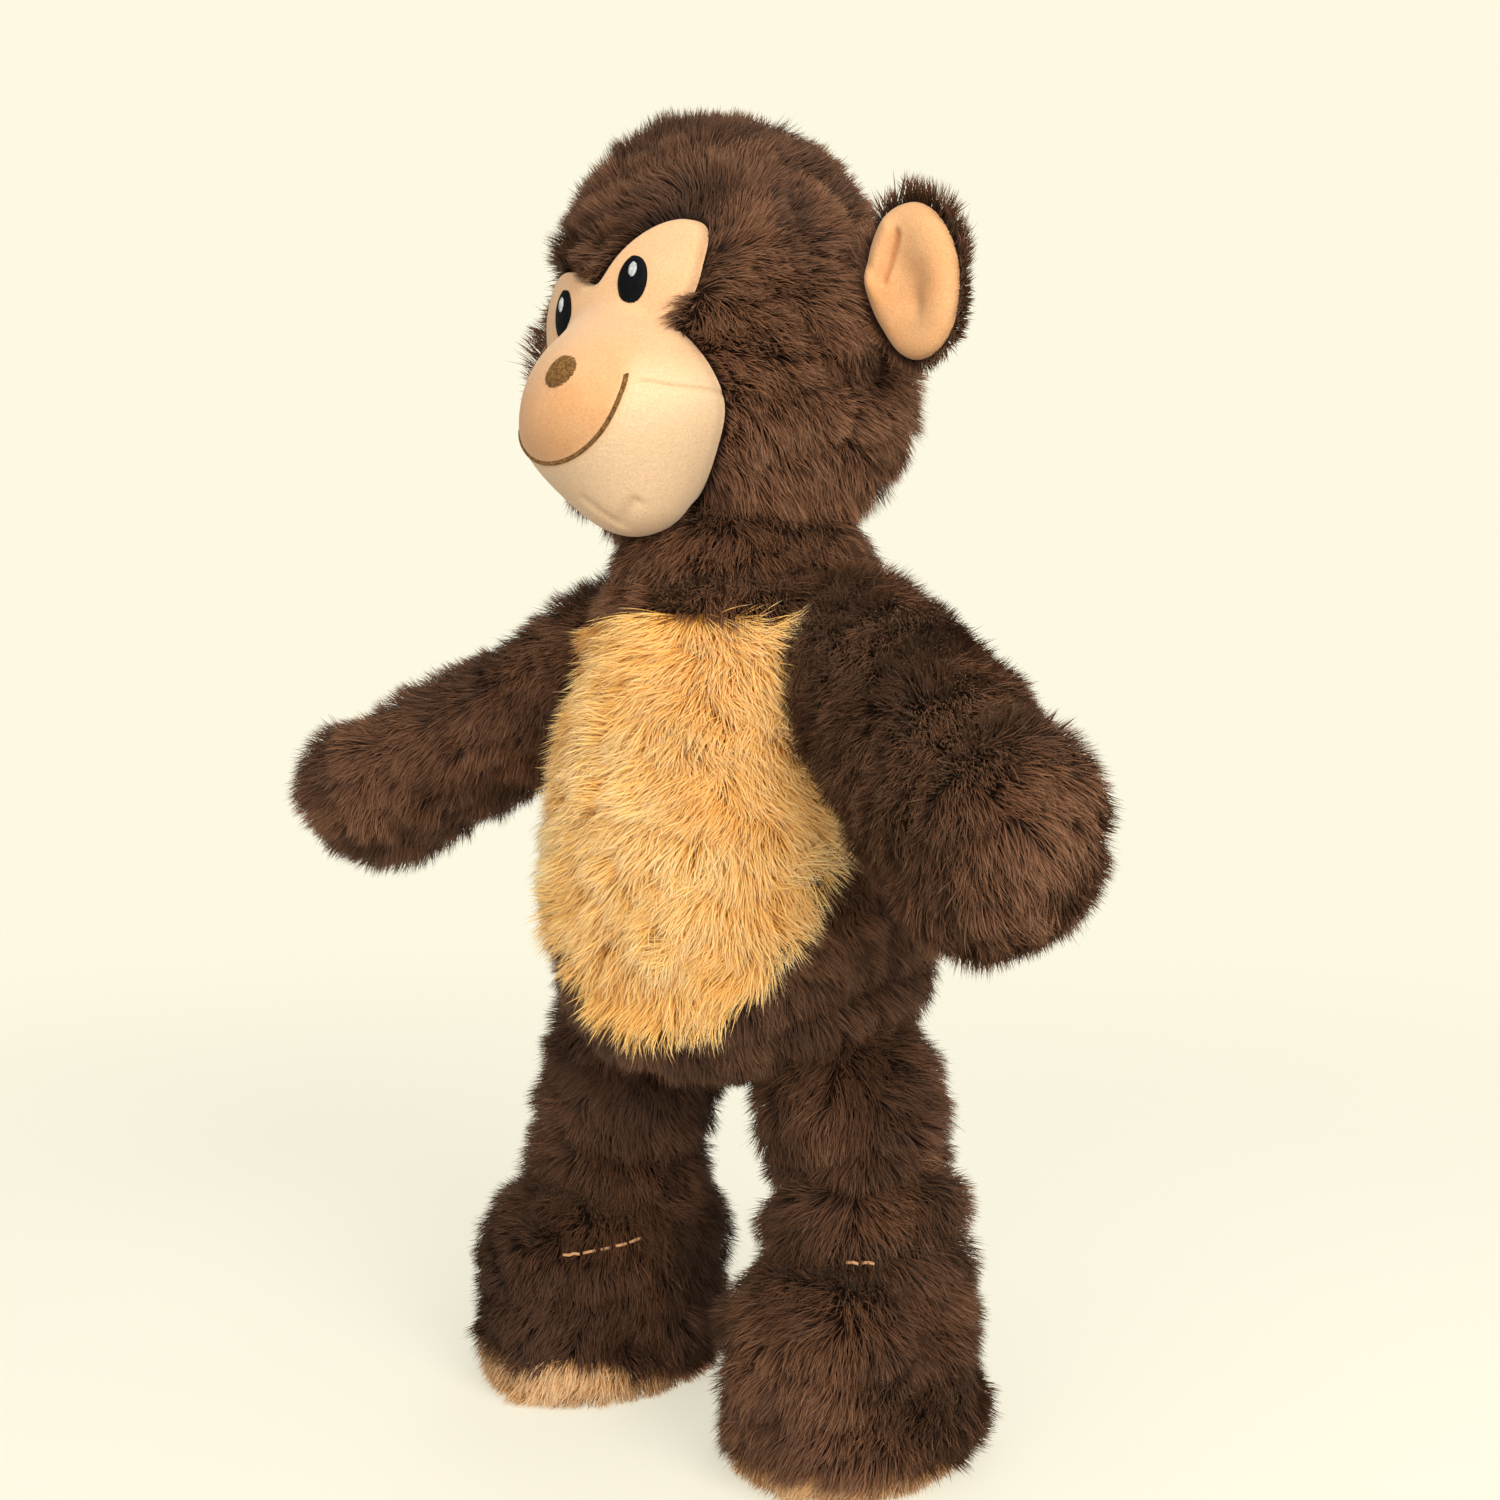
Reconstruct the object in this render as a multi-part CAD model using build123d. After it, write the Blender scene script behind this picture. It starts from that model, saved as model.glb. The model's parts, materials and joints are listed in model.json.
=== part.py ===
"""Standing plush monkey, built the way it is sewn: fur covers, velour face, stuffing and seams.

Millimetres, +Z up. The monkey faces -Y, so its left side is +X. Everything is first built round
the body's own upright axis. BODY_Y then moves it, so that the origin is the centre of the
bounding box's bottom face, between the soles.

Each cover is a closed bag of cloth: an outer shape less the same shape set in by the thickness
of the cloth. Where a limb turns, its round root sits in a pocket of the cover that carries it.
"""
import os
from math import atan2, cos, degrees, hypot, radians, sin

from build123d import *

# ---- driving dimensions -------------------------------------------------------------------
BODY_Y = 9              # the body's axis stands this far behind the origin
CLOTH = 2.5              # backing cloth with its pile pressed flat
STUFFING_GAP = 0.3       # between a cover and what fills it
JOINT_GAP = 0.5          # round a limb's root in its pocket
SWING_GAP = 1.5          # more room than that beside a limb that swings
THREAD = 0.8             # how far embroidery and seam thread stand out of the cloth
THREAD_BAND = 1.6        # width of a line of seam thread

# Covers turned about the body's axis: (radius, height) from the lowest point up.
TORSO_PROFILE = [(0, 95), (30, 100), (50, 118), (58, 150), (57, 185), (51, 218), (44, 240), (36, 256.5)]
HEAD_PROFILE = [(0, 273), (30, 277.5), (46, 291), (52.5, 311), (52, 333), (47.5, 353), (38, 373),
                (23, 389), (0, 396)]
HEAD_ROLL = 9            # degrees that the head leans towards the monkey's right shoulder

# Neck: a short drum on the shoulders with a dome that the head nods on.
NECK_RADIUS = 34
NECK_BASE = 257
NECK_PIVOT = 262         # height of the dome's centre

# Muzzle: a ball of velour let into the front of the head.
MUZZLE = (0, -46, 300)   # centre
MUZZLE_RADIUS = 31
MUZZLE_SEAM = 310        # height of the seam at the corners of the mouth

FACE_LOBE = (14, 345)    # centre of the patch round each eye, x and z
FACE_LOBE_HALF = (14.5, 18.5)
FACE_BRIDGE = (44, 40)   # width and height of the patch between the eyes and the muzzle
FACE_BRIDGE_HEIGHT = 325
EYE = (14, 339.5)
EYE_HALF = (4.4, 7)
GLINT_RISE = 2.2         # of the light stitches above the eye's centre
GLINT_THREAD = 0.4       # how far they stand above the black ones
GLINT_HALF = (1.6, 2.1)
NOSE_HEIGHT = 316
NOSE_HALF = (6, 4.6)
MOUTH_TOP = 313.5        # height of the smile's corners
MOUTH_HALF = (19.5, 22.5)
MOUTH_LINE = 1.6
MOUTH_MARGIN = 3         # between the smile's corners and the start of the side seams

# Ears: flat discs that fold about an upright line beside the head.
EAR_HINGE_X = 58
EAR_HEIGHT = 336
EAR_CENTRE_X = 68
EAR_HALF = (20, 23)
EAR_THICKNESS = 12
EAR_Y = 2

# Belly patch: its outline seen from the front, right half, from the top down.
BELLY_OUTLINE = [(30, 246), (44, 226), (53, 186), (48, 150), (30, 128)]
BELLY_TIP = 119

# Limbs: joint centre, far centre, and (share of the length, radius) from root to end.
SHOULDER = (46, -4, 234)
ARM_HEADING = (0.881, -0.473)    # level direction that the left arm points in
ARM_DROP = 32.4                  # degrees below level
ARM_LENGTH = 90                  # from the shoulder's centre to the paw's
ARM_SIZES = [(0, 21), (0.35, 19.5), (0.7, 21.5), (1, 24.5)]
ARM_SEAM = 23                    # from the shoulder's centre to the ring of seam thread
ARM_SWING = (-20, 70)
HIP = (36, 0, 99)
ANKLE = (50, -5, 38)
LEG_SIZES = [(0, 27), (0.35, 25.5), (0.7, 24.5), (1, 24)]
LEG_SEAM = 28            # from the hip's centre to the ring of seam thread
LEG_SWING = (-20, 75)
ANKLE_FLEX = (-20, 20)
LEG_LEAN = 3             # how far the leg leans inwards before it leaves the foot

# Feet: oval slippers with flat soles.
FOOT_CENTRE = (51.5, -8.5)
FOOT_HALF = (35, 45)
FOOT_HEIGHT = 50
FOOT_TOP_ROUND = 24
FOOT_SOLE_ROUND = 8
SOLE_HEIGHT = 6
INSTEP_SEAM_Y = -37
INSTEP_SEAM_HALF = 17

STITCH_COUNT = 8
STITCH_LENGTH = 5
STITCH_PITCH = 8
STITCH_START = 132

REACH = 150              # longer than any piece that a cut has to clear


# ---- shapes -------------------------------------------------------------------------------
def turned(edges):
    """The solid that a closed outline in the XZ plane sweeps about the Z axis."""
    return revolve(make_face(edges), axis=Axis.Z)


def middle_height(profile):
    """The height halfway between a turned profile's two ends."""
    return (profile[0][1] + profile[-1][1]) / 2


def set_in(profile, inset):
    """A turned profile brought in by `inset` all round; a negative inset lets it out."""
    middle = middle_height(profile)
    half = profile[-1][1] - middle
    shrink = (half - inset) / half
    return [(radius - inset if radius else 0, middle + (z - middle) * shrink) for radius, z in profile]


def torso_body(inset=0):
    points = [(radius, 0, z) for radius, z in set_in(TORSO_PROFILE, inset)]
    side = Spline(points, tangents=[(1, 0, 0), (-0.5, 0, 0.9)])
    top = Line(points[-1], (0, 0, points[-1][2]))
    middle = Line(top @ 1, points[0])
    return turned([side, top, middle])


def head_body(inset=0):
    """The outline is drawn on both sides of the axis, so that it is smooth at the poles."""
    right = set_in(HEAD_PROFILE, inset)
    left = [(-radius, z) for radius, z in reversed(right[1:-1])]
    outline = make_face(Plane.XZ * Spline(*right, *left, periodic=True))
    right_of_axis = Pos(REACH, 0, middle_height(right)) * Box(2 * REACH, REACH, 2 * REACH)
    return revolve(outline & right_of_axis, axis=Axis.Z)


def round_end(radius, height, way):
    """A quarter circle from a turned shape's side to its axis, upwards (1) or downwards (-1)."""
    reach = radius * sin(radians(45))
    middle = (reach, 0, height + way * reach)
    return ThreePointArc((radius, 0, height), middle, (0, 0, height + way * radius))


def neck_body(inset=0):
    radius = NECK_RADIUS - inset
    base = NECK_BASE + inset
    side = Line((radius, 0, base), (radius, 0, NECK_PIVOT))
    dome = round_end(radius, NECK_PIVOT, 1)
    middle = Line((0, 0, NECK_PIVOT + radius), (0, 0, base))
    return turned([side, dome, middle, Line((0, 0, base), (radius, 0, base))])


def muzzle_body(inset=0):
    return Pos(*MUZZLE) * Sphere(MUZZLE_RADIUS - inset)


def limb(length, sizes, inset=0):
    """A stuffed tube along +Z, round at both ends, with its root's centre at the origin."""
    points = [(radius - inset, 0, share * length) for share, radius in sizes]
    root, tip = points[0][0], points[-1][0]
    side = Spline(points, tangents=[(0, 0, 1), (0, 0, 1)])
    middle = Line((0, 0, length + tip), (0, 0, -root))
    return turned([round_end(root, 0, -1), side, round_end(tip, length, 1), middle])


def swing_slot(plane, lowest, highest, half_height, behind, ahead):
    """Room for a limb that swings in `plane`, between two elevations, beside its round root.
    It reaches `behind` the plane and `ahead` of it."""
    def along(angle, reach, side):
        rise, run = sin(radians(angle)), cos(radians(angle))
        return (run * reach - rise * side, rise * reach + run * side)

    middle = (lowest + highest) / 2
    corners = [along(highest, 0, half_height), along(highest, REACH, half_height),
               along(middle, REACH * 2, 0), along(lowest, REACH, -half_height),
               along(lowest, 0, -half_height)]
    flat = make_face(Polyline(*corners, close=True))
    return plane * (Pos(0, 0, -behind) * extrude(flat, amount=behind + ahead))


def bag(body, cuts):
    """The cloth cover and the stuffing of a shape. cuts(grow) gives the pockets let into it."""
    def solid(inset):
        shape = body(inset)
        for cut in cuts(inset):
            shape = shape - cut
        return shape

    cover = solid(0) - solid(CLOTH)
    return cover, solid(CLOTH + STUFFING_GAP)


def skin(body, low, high):
    """A thin layer that follows a body's surface from `low` to `high` outside it."""
    return body(-high) - body(-low)


def front_prism(sketch):
    """A sketch drawn as seen from the front, carried through everything forward of the axis."""
    return extrude(Plane.XZ * sketch, amount=REACH)


def slab(z_low, z_high):
    return Pos(0, 0, (z_low + z_high) / 2) * Box(3 * REACH, 3 * REACH, z_high - z_low)


def on_right(shape):
    return mirror(shape, about=Plane.YZ)


# ---- where the limbs stand ----------------------------------------------------------------
arm_drop_run = cos(radians(ARM_DROP))
arm_direction = (ARM_HEADING[0] * arm_drop_run, ARM_HEADING[1] * arm_drop_run, -sin(radians(ARM_DROP)))
arm_swing_plane = Plane(origin=SHOULDER, x_dir=(*ARM_HEADING, 0), z_dir=(ARM_HEADING[1], -ARM_HEADING[0], 0))
arm_place = Plane(origin=SHOULDER, z_dir=arm_direction)

leg_vector = tuple(end - start for start, end in zip(HIP, ANKLE))
leg_length = hypot(*leg_vector)
leg_place = Plane(origin=HIP, z_dir=leg_vector)
leg_swing_plane = Plane(origin=HIP, x_dir=(0, -1, 0), z_dir=(-1, 0, 0))
leg_elevation = degrees(atan2(leg_vector[2], -leg_vector[1]))
ankle_swing_plane = Plane(origin=ANKLE, x_dir=(0, -1, 0), z_dir=(-1, 0, 0))


def arm_body(inset=0):
    return arm_place * limb(ARM_LENGTH, ARM_SIZES, inset)


def leg_body(inset=0):
    return leg_place * limb(leg_length, LEG_SIZES, inset)


def foot_body(inset=0):
    oval = Ellipse(FOOT_HALF[0] - inset, FOOT_HALF[1] - inset)
    block = Pos(0, 0, inset) * extrude(oval, amount=FOOT_HEIGHT - 2 * inset)
    block = fillet(block.edges().sort_by(Axis.Z)[-1], FOOT_TOP_ROUND - inset)
    block = fillet(block.edges().sort_by(Axis.Z)[0], FOOT_SOLE_ROUND - inset)
    return Pos(*FOOT_CENTRE, 0) * block


# ---- pockets ------------------------------------------------------------------------------
def shoulder_pocket(grow):
    room = ARM_SIZES[0][1] + JOINT_GAP + grow
    angles = [swing - ARM_DROP for swing in ARM_SWING]
    beside = room + SWING_GAP
    slot = swing_slot(arm_swing_plane, *angles, beside, beside, beside)
    return Pos(*SHOULDER) * Sphere(room), slot


def hip_pocket(grow):
    room = LEG_SIZES[0][1] + JOINT_GAP + grow
    angles = [leg_elevation + swing for swing in LEG_SWING]
    beside = room + SWING_GAP
    slot = swing_slot(leg_swing_plane, *angles, beside, REACH, beside)
    return Pos(*HIP) * Sphere(room), slot


def ankle_pocket(grow):
    room = LEG_SIZES[-1][1] + JOINT_GAP + grow
    angles = [leg_elevation + 180 + flex for flex in ANKLE_FLEX]
    beside = room + SWING_GAP
    slot = swing_slot(ankle_swing_plane, *angles, beside, beside, beside + LEG_LEAN)
    return Pos(*ANKLE) * Sphere(room), slot


def torso_cuts(grow):
    left = [*shoulder_pocket(grow), *hip_pocket(grow)]
    return left + [on_right(cut) for cut in left]


def neck_cup(grow):
    return Pos(0, 0, NECK_PIVOT) * Sphere(NECK_RADIUS + JOINT_GAP + grow)


def head_cuts(grow):
    groove_radius = EAR_THICKNESS / 2 + JOINT_GAP + grow
    groove = Pos(EAR_HINGE_X, EAR_Y, EAR_HEIGHT) * Cylinder(groove_radius, 2 * (EAR_HALF[1] + grow))
    return [neck_cup(grow), groove, on_right(groove)]


def no_cuts(grow):
    return []


# ---- torso and neck -----------------------------------------------------------------------
torso_cover, torso_stuffing = bag(torso_body, torso_cuts)

belly_points = BELLY_OUTLINE + [(0, BELLY_TIP)] + [(-x, z) for x, z in reversed(BELLY_OUTLINE)]
belly_sketch = make_face([Spline(*belly_points), Line(belly_points[-1], belly_points[0])])
belly_prism = front_prism(belly_sketch)
belly_patch = torso_cover & belly_prism
torso_cover = torso_cover - belly_prism

stitch_box = Box(THREAD_BAND, REACH, STITCH_LENGTH)
stitch_layer = skin(torso_body, 0, THREAD)
closing_stitches = Part() + [
    stitch_layer & (Pos(0, REACH / 2, STITCH_START + STITCH_PITCH * number) * stitch_box)
    for number in range(STITCH_COUNT)
]

neck_cover, neck_stuffing = bag(neck_body, no_cuts)
neck_ring_foot = NECK_BASE + THREAD / 2
neck_seam = skin(neck_body, 0, THREAD) & slab(neck_ring_foot, neck_ring_foot + THREAD_BAND)

# ---- head ---------------------------------------------------------------------------------
head_cover, head_stuffing = bag(head_body, head_cuts)

face_sketch = Pos(0, FACE_BRIDGE_HEIGHT) * Rectangle(*FACE_BRIDGE)
for side in (-1, 1):
    face_sketch += Pos(side * FACE_LOBE[0], FACE_LOBE[1]) * Ellipse(*FACE_LOBE_HALF)
face_prism = front_prism(face_sketch)
face_patch = head_cover & face_prism

# The muzzle is let into the head's cover: its stuffing meets the head's through the opening.
head_inside = head_body(CLOTH)
muzzle_whole = muzzle_body() - head_inside - neck_cup(0)
muzzle_cover = muzzle_whole - (muzzle_body(CLOTH) - neck_cup(CLOTH))
muzzle_stuffing = muzzle_body(CLOTH + STUFFING_GAP) - head_inside - neck_cup(CLOTH + STUFFING_GAP)
above_seam = slab(MUZZLE_SEAM, MUZZLE_SEAM + REACH)
chin_patch = muzzle_cover - above_seam
face_patch = (face_patch - muzzle_whole) + (muzzle_cover & above_seam)
head_cover = head_cover - face_prism - muzzle_whole

muzzle_skin = skin(muzzle_body, 0, THREAD)
muzzle_front = muzzle_skin & (Pos(0, MUZZLE[1] - REACH / 2, MUZZLE[2]) * Box(REACH, REACH, REACH))
muzzle_seam_band = slab(MUZZLE_SEAM - THREAD_BAND / 2, MUZZLE_SEAM + THREAD_BAND / 2)
seam_gap = front_prism(Pos(0, MUZZLE_SEAM) * Rectangle(2 * (MOUTH_HALF[0] + MOUTH_MARGIN), 2 * MOUTH_MARGIN))
muzzle_seam = (muzzle_skin & muzzle_seam_band) - seam_gap - head_body()

eye_layer = skin(head_body, 0, THREAD)
eye_left = eye_layer & front_prism(Pos(*EYE) * Ellipse(*EYE_HALF))
glint_layer = skin(head_body, THREAD, THREAD + GLINT_THREAD)
glint_left = glint_layer & front_prism(Pos(EYE[0], EYE[1] + GLINT_RISE) * Ellipse(*GLINT_HALF))

nose = muzzle_front & front_prism(Pos(0, NOSE_HEIGHT) * Ellipse(*NOSE_HALF))
smile_outer = Ellipse(MOUTH_HALF[0] + MOUTH_LINE / 2, MOUTH_HALF[1] + MOUTH_LINE / 2)
smile_inner = Ellipse(MOUTH_HALF[0] - MOUTH_LINE / 2, MOUTH_HALF[1] - MOUTH_LINE / 2)
smile = (smile_outer - smile_inner) & (Pos(0, -REACH / 2) * Rectangle(REACH, REACH))
mouth = muzzle_front & front_prism(Pos(0, MOUTH_TOP) * smile)


# ---- ears ---------------------------------------------------------------------------------
def ear_halves():
    """The velour front and the fur back of the left ear, sewn together round their edge."""
    root = EAR_THICKNESS / 2
    reach = EAR_CENTRE_X + EAR_HALF[0] - EAR_HINGE_X
    section = Pos(EAR_HINGE_X, EAR_Y) * (Circle(root) + Pos(reach, 0) * Rectangle(2 * reach, 2 * root))
    plate = Pos(0, 0, EAR_HEIGHT - EAR_HALF[1]) * extrude(section, amount=2 * EAR_HALF[1])
    outline = Pos(EAR_CENTRE_X, EAR_HEIGHT) * Ellipse(*EAR_HALF)
    plate = plate & (Pos(0, REACH / 2, 0) * front_prism(outline))
    front = plate & (Pos(0, EAR_Y - REACH / 2, EAR_HEIGHT) * Box(2 * REACH, REACH, REACH))
    return front, plate - front


ear_left_front, ear_left_back = ear_halves()

# ---- limbs --------------------------------------------------------------------------------
arm_left_cover, arm_left_stuffing = bag(arm_body, no_cuts)
arm_ring = arm_place * slab(ARM_SEAM, ARM_SEAM + THREAD_BAND)
shoulder_left_seam = skin(arm_body, 0, THREAD) & arm_ring

leg_left_cover, leg_left_stuffing = bag(leg_body, no_cuts)
leg_ring = leg_place * slab(LEG_SEAM, LEG_SEAM + THREAD_BAND)
hip_left_seam = skin(leg_body, 0, THREAD) & leg_ring

foot_left_cover, foot_left_stuffing = bag(foot_body, ankle_pocket)
foot_left_sole = foot_left_cover & slab(-REACH, SOLE_HEIGHT)
foot_left_cover = foot_left_cover - slab(-REACH, SOLE_HEIGHT)
instep_band = Box(2 * INSTEP_SEAM_HALF, THREAD_BAND, FOOT_HEIGHT)
instep_box = Pos(FOOT_CENTRE[0], INSTEP_SEAM_Y, FOOT_HEIGHT) * instep_band
instep_left_seam = skin(foot_body, 0, THREAD) & instep_box

# ---- names and files ----------------------------------------------------------------------
upright = {
    "torso_cover": torso_cover,
    "belly_patch": belly_patch,
    "torso_stuffing": torso_stuffing,
    "back_closing_stitches": closing_stitches,
    "neck_cover": neck_cover,
    "neck_stuffing": neck_stuffing,
    "neck_seam_thread": neck_seam,
}
paired = {
    "arm_{}_cover": arm_left_cover,
    "arm_{}_stuffing": arm_left_stuffing,
    "shoulder_{}_seam_thread": shoulder_left_seam,
    "leg_{}_cover": leg_left_cover,
    "leg_{}_stuffing": leg_left_stuffing,
    "hip_{}_seam_thread": hip_left_seam,
    "foot_{}_cover": foot_left_cover,
    "foot_{}_stuffing": foot_left_stuffing,
    "foot_{}_sole": foot_left_sole,
    "instep_{}_seam_thread": instep_left_seam,
}
on_head = {
    "head_cover": head_cover,
    "head_stuffing": head_stuffing,
    "face_patch": face_patch,
    "chin_patch": chin_patch,
    "muzzle_stuffing": muzzle_stuffing,
    "muzzle_seam_thread": muzzle_seam,
    "nose_embroidery": nose,
    "mouth_embroidery": mouth,
}
on_head_paired = {
    "eye_{}_embroidery": eye_left,
    "eye_{}_glint": glint_left,
    "ear_{}_front": ear_left_front,
    "ear_{}_back": ear_left_back,
}


def both_sides(pieces):
    named = {}
    for name, shape in pieces.items():
        named[name.format("left")] = shape
        named[name.format("right")] = on_right(shape)
    return named


roll_axis = Axis((0, 0, NECK_PIVOT), (0, 1, 0))
rolled = {**on_head, **both_sides(on_head_paired)}
pieces = {**upright, **both_sides(paired)}
pieces.update({name: shape.rotate(roll_axis, -HEAD_ROLL) for name, shape in rolled.items()})

os.makedirs("parts", exist_ok=True)
for name, shape in pieces.items():
    placed = Compound(children=[Pos(0, BODY_Y, 0) * solid for solid in shape.solids()])
    if len(placed.solids()) == 1:
        placed = placed.solids()[0]
    export_step(placed, f"parts/{name}.step")
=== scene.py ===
import json
from math import cos, pi, radians, sin

import bpy
import numpy as np
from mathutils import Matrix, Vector
from mathutils.bvhtree import BVHTree


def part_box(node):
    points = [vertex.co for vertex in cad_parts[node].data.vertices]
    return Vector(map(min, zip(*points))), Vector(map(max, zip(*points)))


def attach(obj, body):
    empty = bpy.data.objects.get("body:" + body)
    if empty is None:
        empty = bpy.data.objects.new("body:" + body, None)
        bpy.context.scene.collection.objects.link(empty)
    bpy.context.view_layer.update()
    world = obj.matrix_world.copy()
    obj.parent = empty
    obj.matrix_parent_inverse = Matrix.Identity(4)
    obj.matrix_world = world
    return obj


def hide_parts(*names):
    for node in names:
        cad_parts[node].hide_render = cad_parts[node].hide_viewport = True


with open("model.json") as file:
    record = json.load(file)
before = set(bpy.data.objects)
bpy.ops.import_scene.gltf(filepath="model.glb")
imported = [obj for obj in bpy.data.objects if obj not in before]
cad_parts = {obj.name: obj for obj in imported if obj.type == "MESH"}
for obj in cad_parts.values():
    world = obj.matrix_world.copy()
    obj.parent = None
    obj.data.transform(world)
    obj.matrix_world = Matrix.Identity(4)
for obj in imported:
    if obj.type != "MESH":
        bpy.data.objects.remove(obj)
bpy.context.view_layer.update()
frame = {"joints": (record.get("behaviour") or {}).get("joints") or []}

MM = 0.001
joints = {joint["name"]: joint for joint in frame["joints"]}


# ---- small helpers ------------------------------------------------------------------------
def pivot(name):
    """Where a joint is, in millimetres."""
    return np.array(joints[name]["pos_m"]) / MM


def unit(vectors):
    length = np.linalg.norm(vectors, axis=-1, keepdims=True)
    return vectors / np.maximum(length, 1e-9)


def dot(a, b):
    return np.sum(a * b, axis=-1, keepdims=True)


def smooth_step(low, high, value):
    share = np.clip((value - low) / (high - low), 0, 1)
    return share * share * (3 - 2 * share)


def hashed(cells, seed):
    """A number from 0 to 1 for each whole-number cell, the same on each run."""
    whole = np.asarray(cells).astype(np.int64).astype(np.uint64)
    mixed = whole[..., 0] * np.uint64(73856093) ^ whole[..., 1] * np.uint64(19349663)
    mixed = mixed ^ whole[..., 2] * np.uint64(83492791) ^ np.uint64(seed * 7919 + 17)
    mixed = (mixed ^ (mixed >> np.uint64(13))) * np.uint64(1274126177)
    mixed = (mixed ^ (mixed >> np.uint64(16))) & np.uint64(0xFFFFFF)
    return mixed.astype(float) / 0xFFFFFF


def smooth_noise(points, size, seed):
    """Soft noise from -1 to 1, with lumps about `size` across."""
    scaled = points / size
    cell = np.floor(scaled)
    share = scaled - cell
    share = share * share * (3 - 2 * share)
    total = np.zeros(points.shape[:-1])
    for corner in np.ndindex(2, 2, 2):
        weight = np.prod(np.where(corner, share, 1 - share), axis=-1)
        total += weight * hashed(cell + corner, seed)
    return 2 * total - 1


def clumps(points, size, seed):
    """Each point's nearest tuft: the tuft's centre, and two numbers from 0 to 1 that belong to it."""
    scaled = points / size
    cell = np.floor(scaled)
    best = np.full(len(points), np.inf)
    centre = np.zeros_like(points)
    keys = np.zeros((len(points), 2))
    for step in np.ndindex(3, 3, 3):
        near = cell + step - 1
        spot = near + np.stack([hashed(near, seed + axis) for axis in range(3)], axis=-1)
        away = np.linalg.norm(spot - scaled, axis=-1)
        closer = away < best
        best[closer] = away[closer]
        centre[closer] = spot[closer]
        keys[closer] = np.stack([hashed(near[closer], seed + 5 + k) for k in range(2)], axis=-1)
    return centre * size, keys


def through(points, count):
    """A smooth line through (radius, height) points, as `count` points. An end on the axis is a pole."""
    known = np.array(points, float)
    mirror = np.array([-1, 1])
    before = known[1] * mirror if known[0][0] == 0 else 2 * known[0] - known[1]
    after = known[-2] * mirror if known[-1][0] == 0 else 2 * known[-1] - known[-2]
    known = np.vstack([before, known, after])
    place = np.linspace(0, len(points) - 1, count * 8)
    start = np.minimum(place.astype(int), len(points) - 2)
    t = (place - start)[:, None]
    a, b, c, d = (known[start + k] for k in range(4))
    line = 0.5 * (2 * b + (c - a) * t + (2 * a - 5 * b + 4 * c - d) * t ** 2
                  + (3 * b - a - 3 * c + d) * t ** 3)
    steps = np.linalg.norm(np.diff(line, axis=0), axis=1)
    travelled = np.concatenate([[0], np.cumsum(steps)])
    even = np.linspace(0, travelled[-1], count)
    return np.stack([np.interp(even, travelled, line[:, k]) for k in range(2)], axis=-1)


# ---- frames and meshes --------------------------------------------------------------------
class Place:
    """A part's own frame: its origin, its three directions and the body that it rides on."""

    def __init__(self, body, origin, across=(1, 0, 0), up=(0, 0, 1)):
        self.body = body
        self.origin = np.array(origin, float)
        up = np.array(up, float) / np.linalg.norm(up)
        across = np.array(across, float) - up * np.dot(across, up)
        across = across / np.linalg.norm(across)
        self.turn = np.stack([across, np.cross(up, across), up])

    def world(self, points):
        return (self.origin + points @ self.turn) * MM

    def local(self, direction):
        return self.turn @ np.array(direction, float)


def new_object(name, mesh, place, material):
    obj = bpy.data.objects.new(name, mesh)
    bpy.context.scene.collection.objects.link(obj)
    mesh.materials.append(material)
    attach(obj, place.body)
    return obj


def mesh_piece(name, place, points, faces, material, *replaced):
    """A smooth mesh piece from points in the part's frame, and the CAD nodes that it stands for."""
    used = sorted({corner for face in faces for corner in face})
    renumber = {old: new for new, old in enumerate(used)}
    mesh = bpy.data.meshes.new(name)
    kept = place.world(points[used])
    mesh.from_pydata(kept.tolist(), [], [[renumber[corner] for corner in face] for face in faces])
    mesh.polygons.foreach_set("use_smooth", [True] * len(mesh.polygons))
    mesh.update()
    obj = new_object(name, mesh, place, material)
    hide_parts(*replaced)
    return obj


def grid_faces(rows, columns, first_pole=True, last_pole=True):
    """Faces of a closed grid of rings. A pole is one point in place of a ring."""
    faces = []
    first_ring = 1 if first_pole else 0
    ring_count = rows - first_pole - last_pole

    def corner(ring, column):
        return first_ring + ring * columns + column % columns

    for column in range(columns):
        if first_pole:
            faces.append((0, corner(0, column + 1), corner(0, column)))
        for ring in range(ring_count - 1):
            faces.append((corner(ring, column), corner(ring, column + 1),
                          corner(ring + 1, column + 1), corner(ring + 1, column)))
        if last_pole:
            pole = first_ring + ring_count * columns
            faces.append((corner(ring_count - 1, column), corner(ring_count - 1, column + 1), pole))
    return faces


def grid_points(grid, first_pole=True, last_pole=True):
    """The grid's points as a flat list, with one point for each pole."""
    rings = grid[int(first_pole):len(grid) - int(last_pole)].reshape(-1, 3)
    parts = [grid[0, :1]] * first_pole + [rings] + [grid[-1, :1]] * last_pole
    return np.concatenate(parts)


def flat_values(values, shape):
    """One value for each point of a grid with a pole at each end."""
    return grid_points(np.repeat(np.broadcast_to(values, shape)[..., None], 3, axis=2))[:, 0]


def triangles(faces):
    found = []
    for face in faces:
        found.append(face[:3])
        if len(face) == 4:
            found.append((face[0], face[2], face[3]))
    return np.array(found)


def point_normals(points, tris):
    a, b, c = (points[tris[:, k]] for k in range(3))
    flat = np.cross(b - a, c - a)
    total = np.zeros_like(points)
    for k in range(3):
        np.add.at(total, tris[:, k], flat)
    return unit(total)


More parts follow.
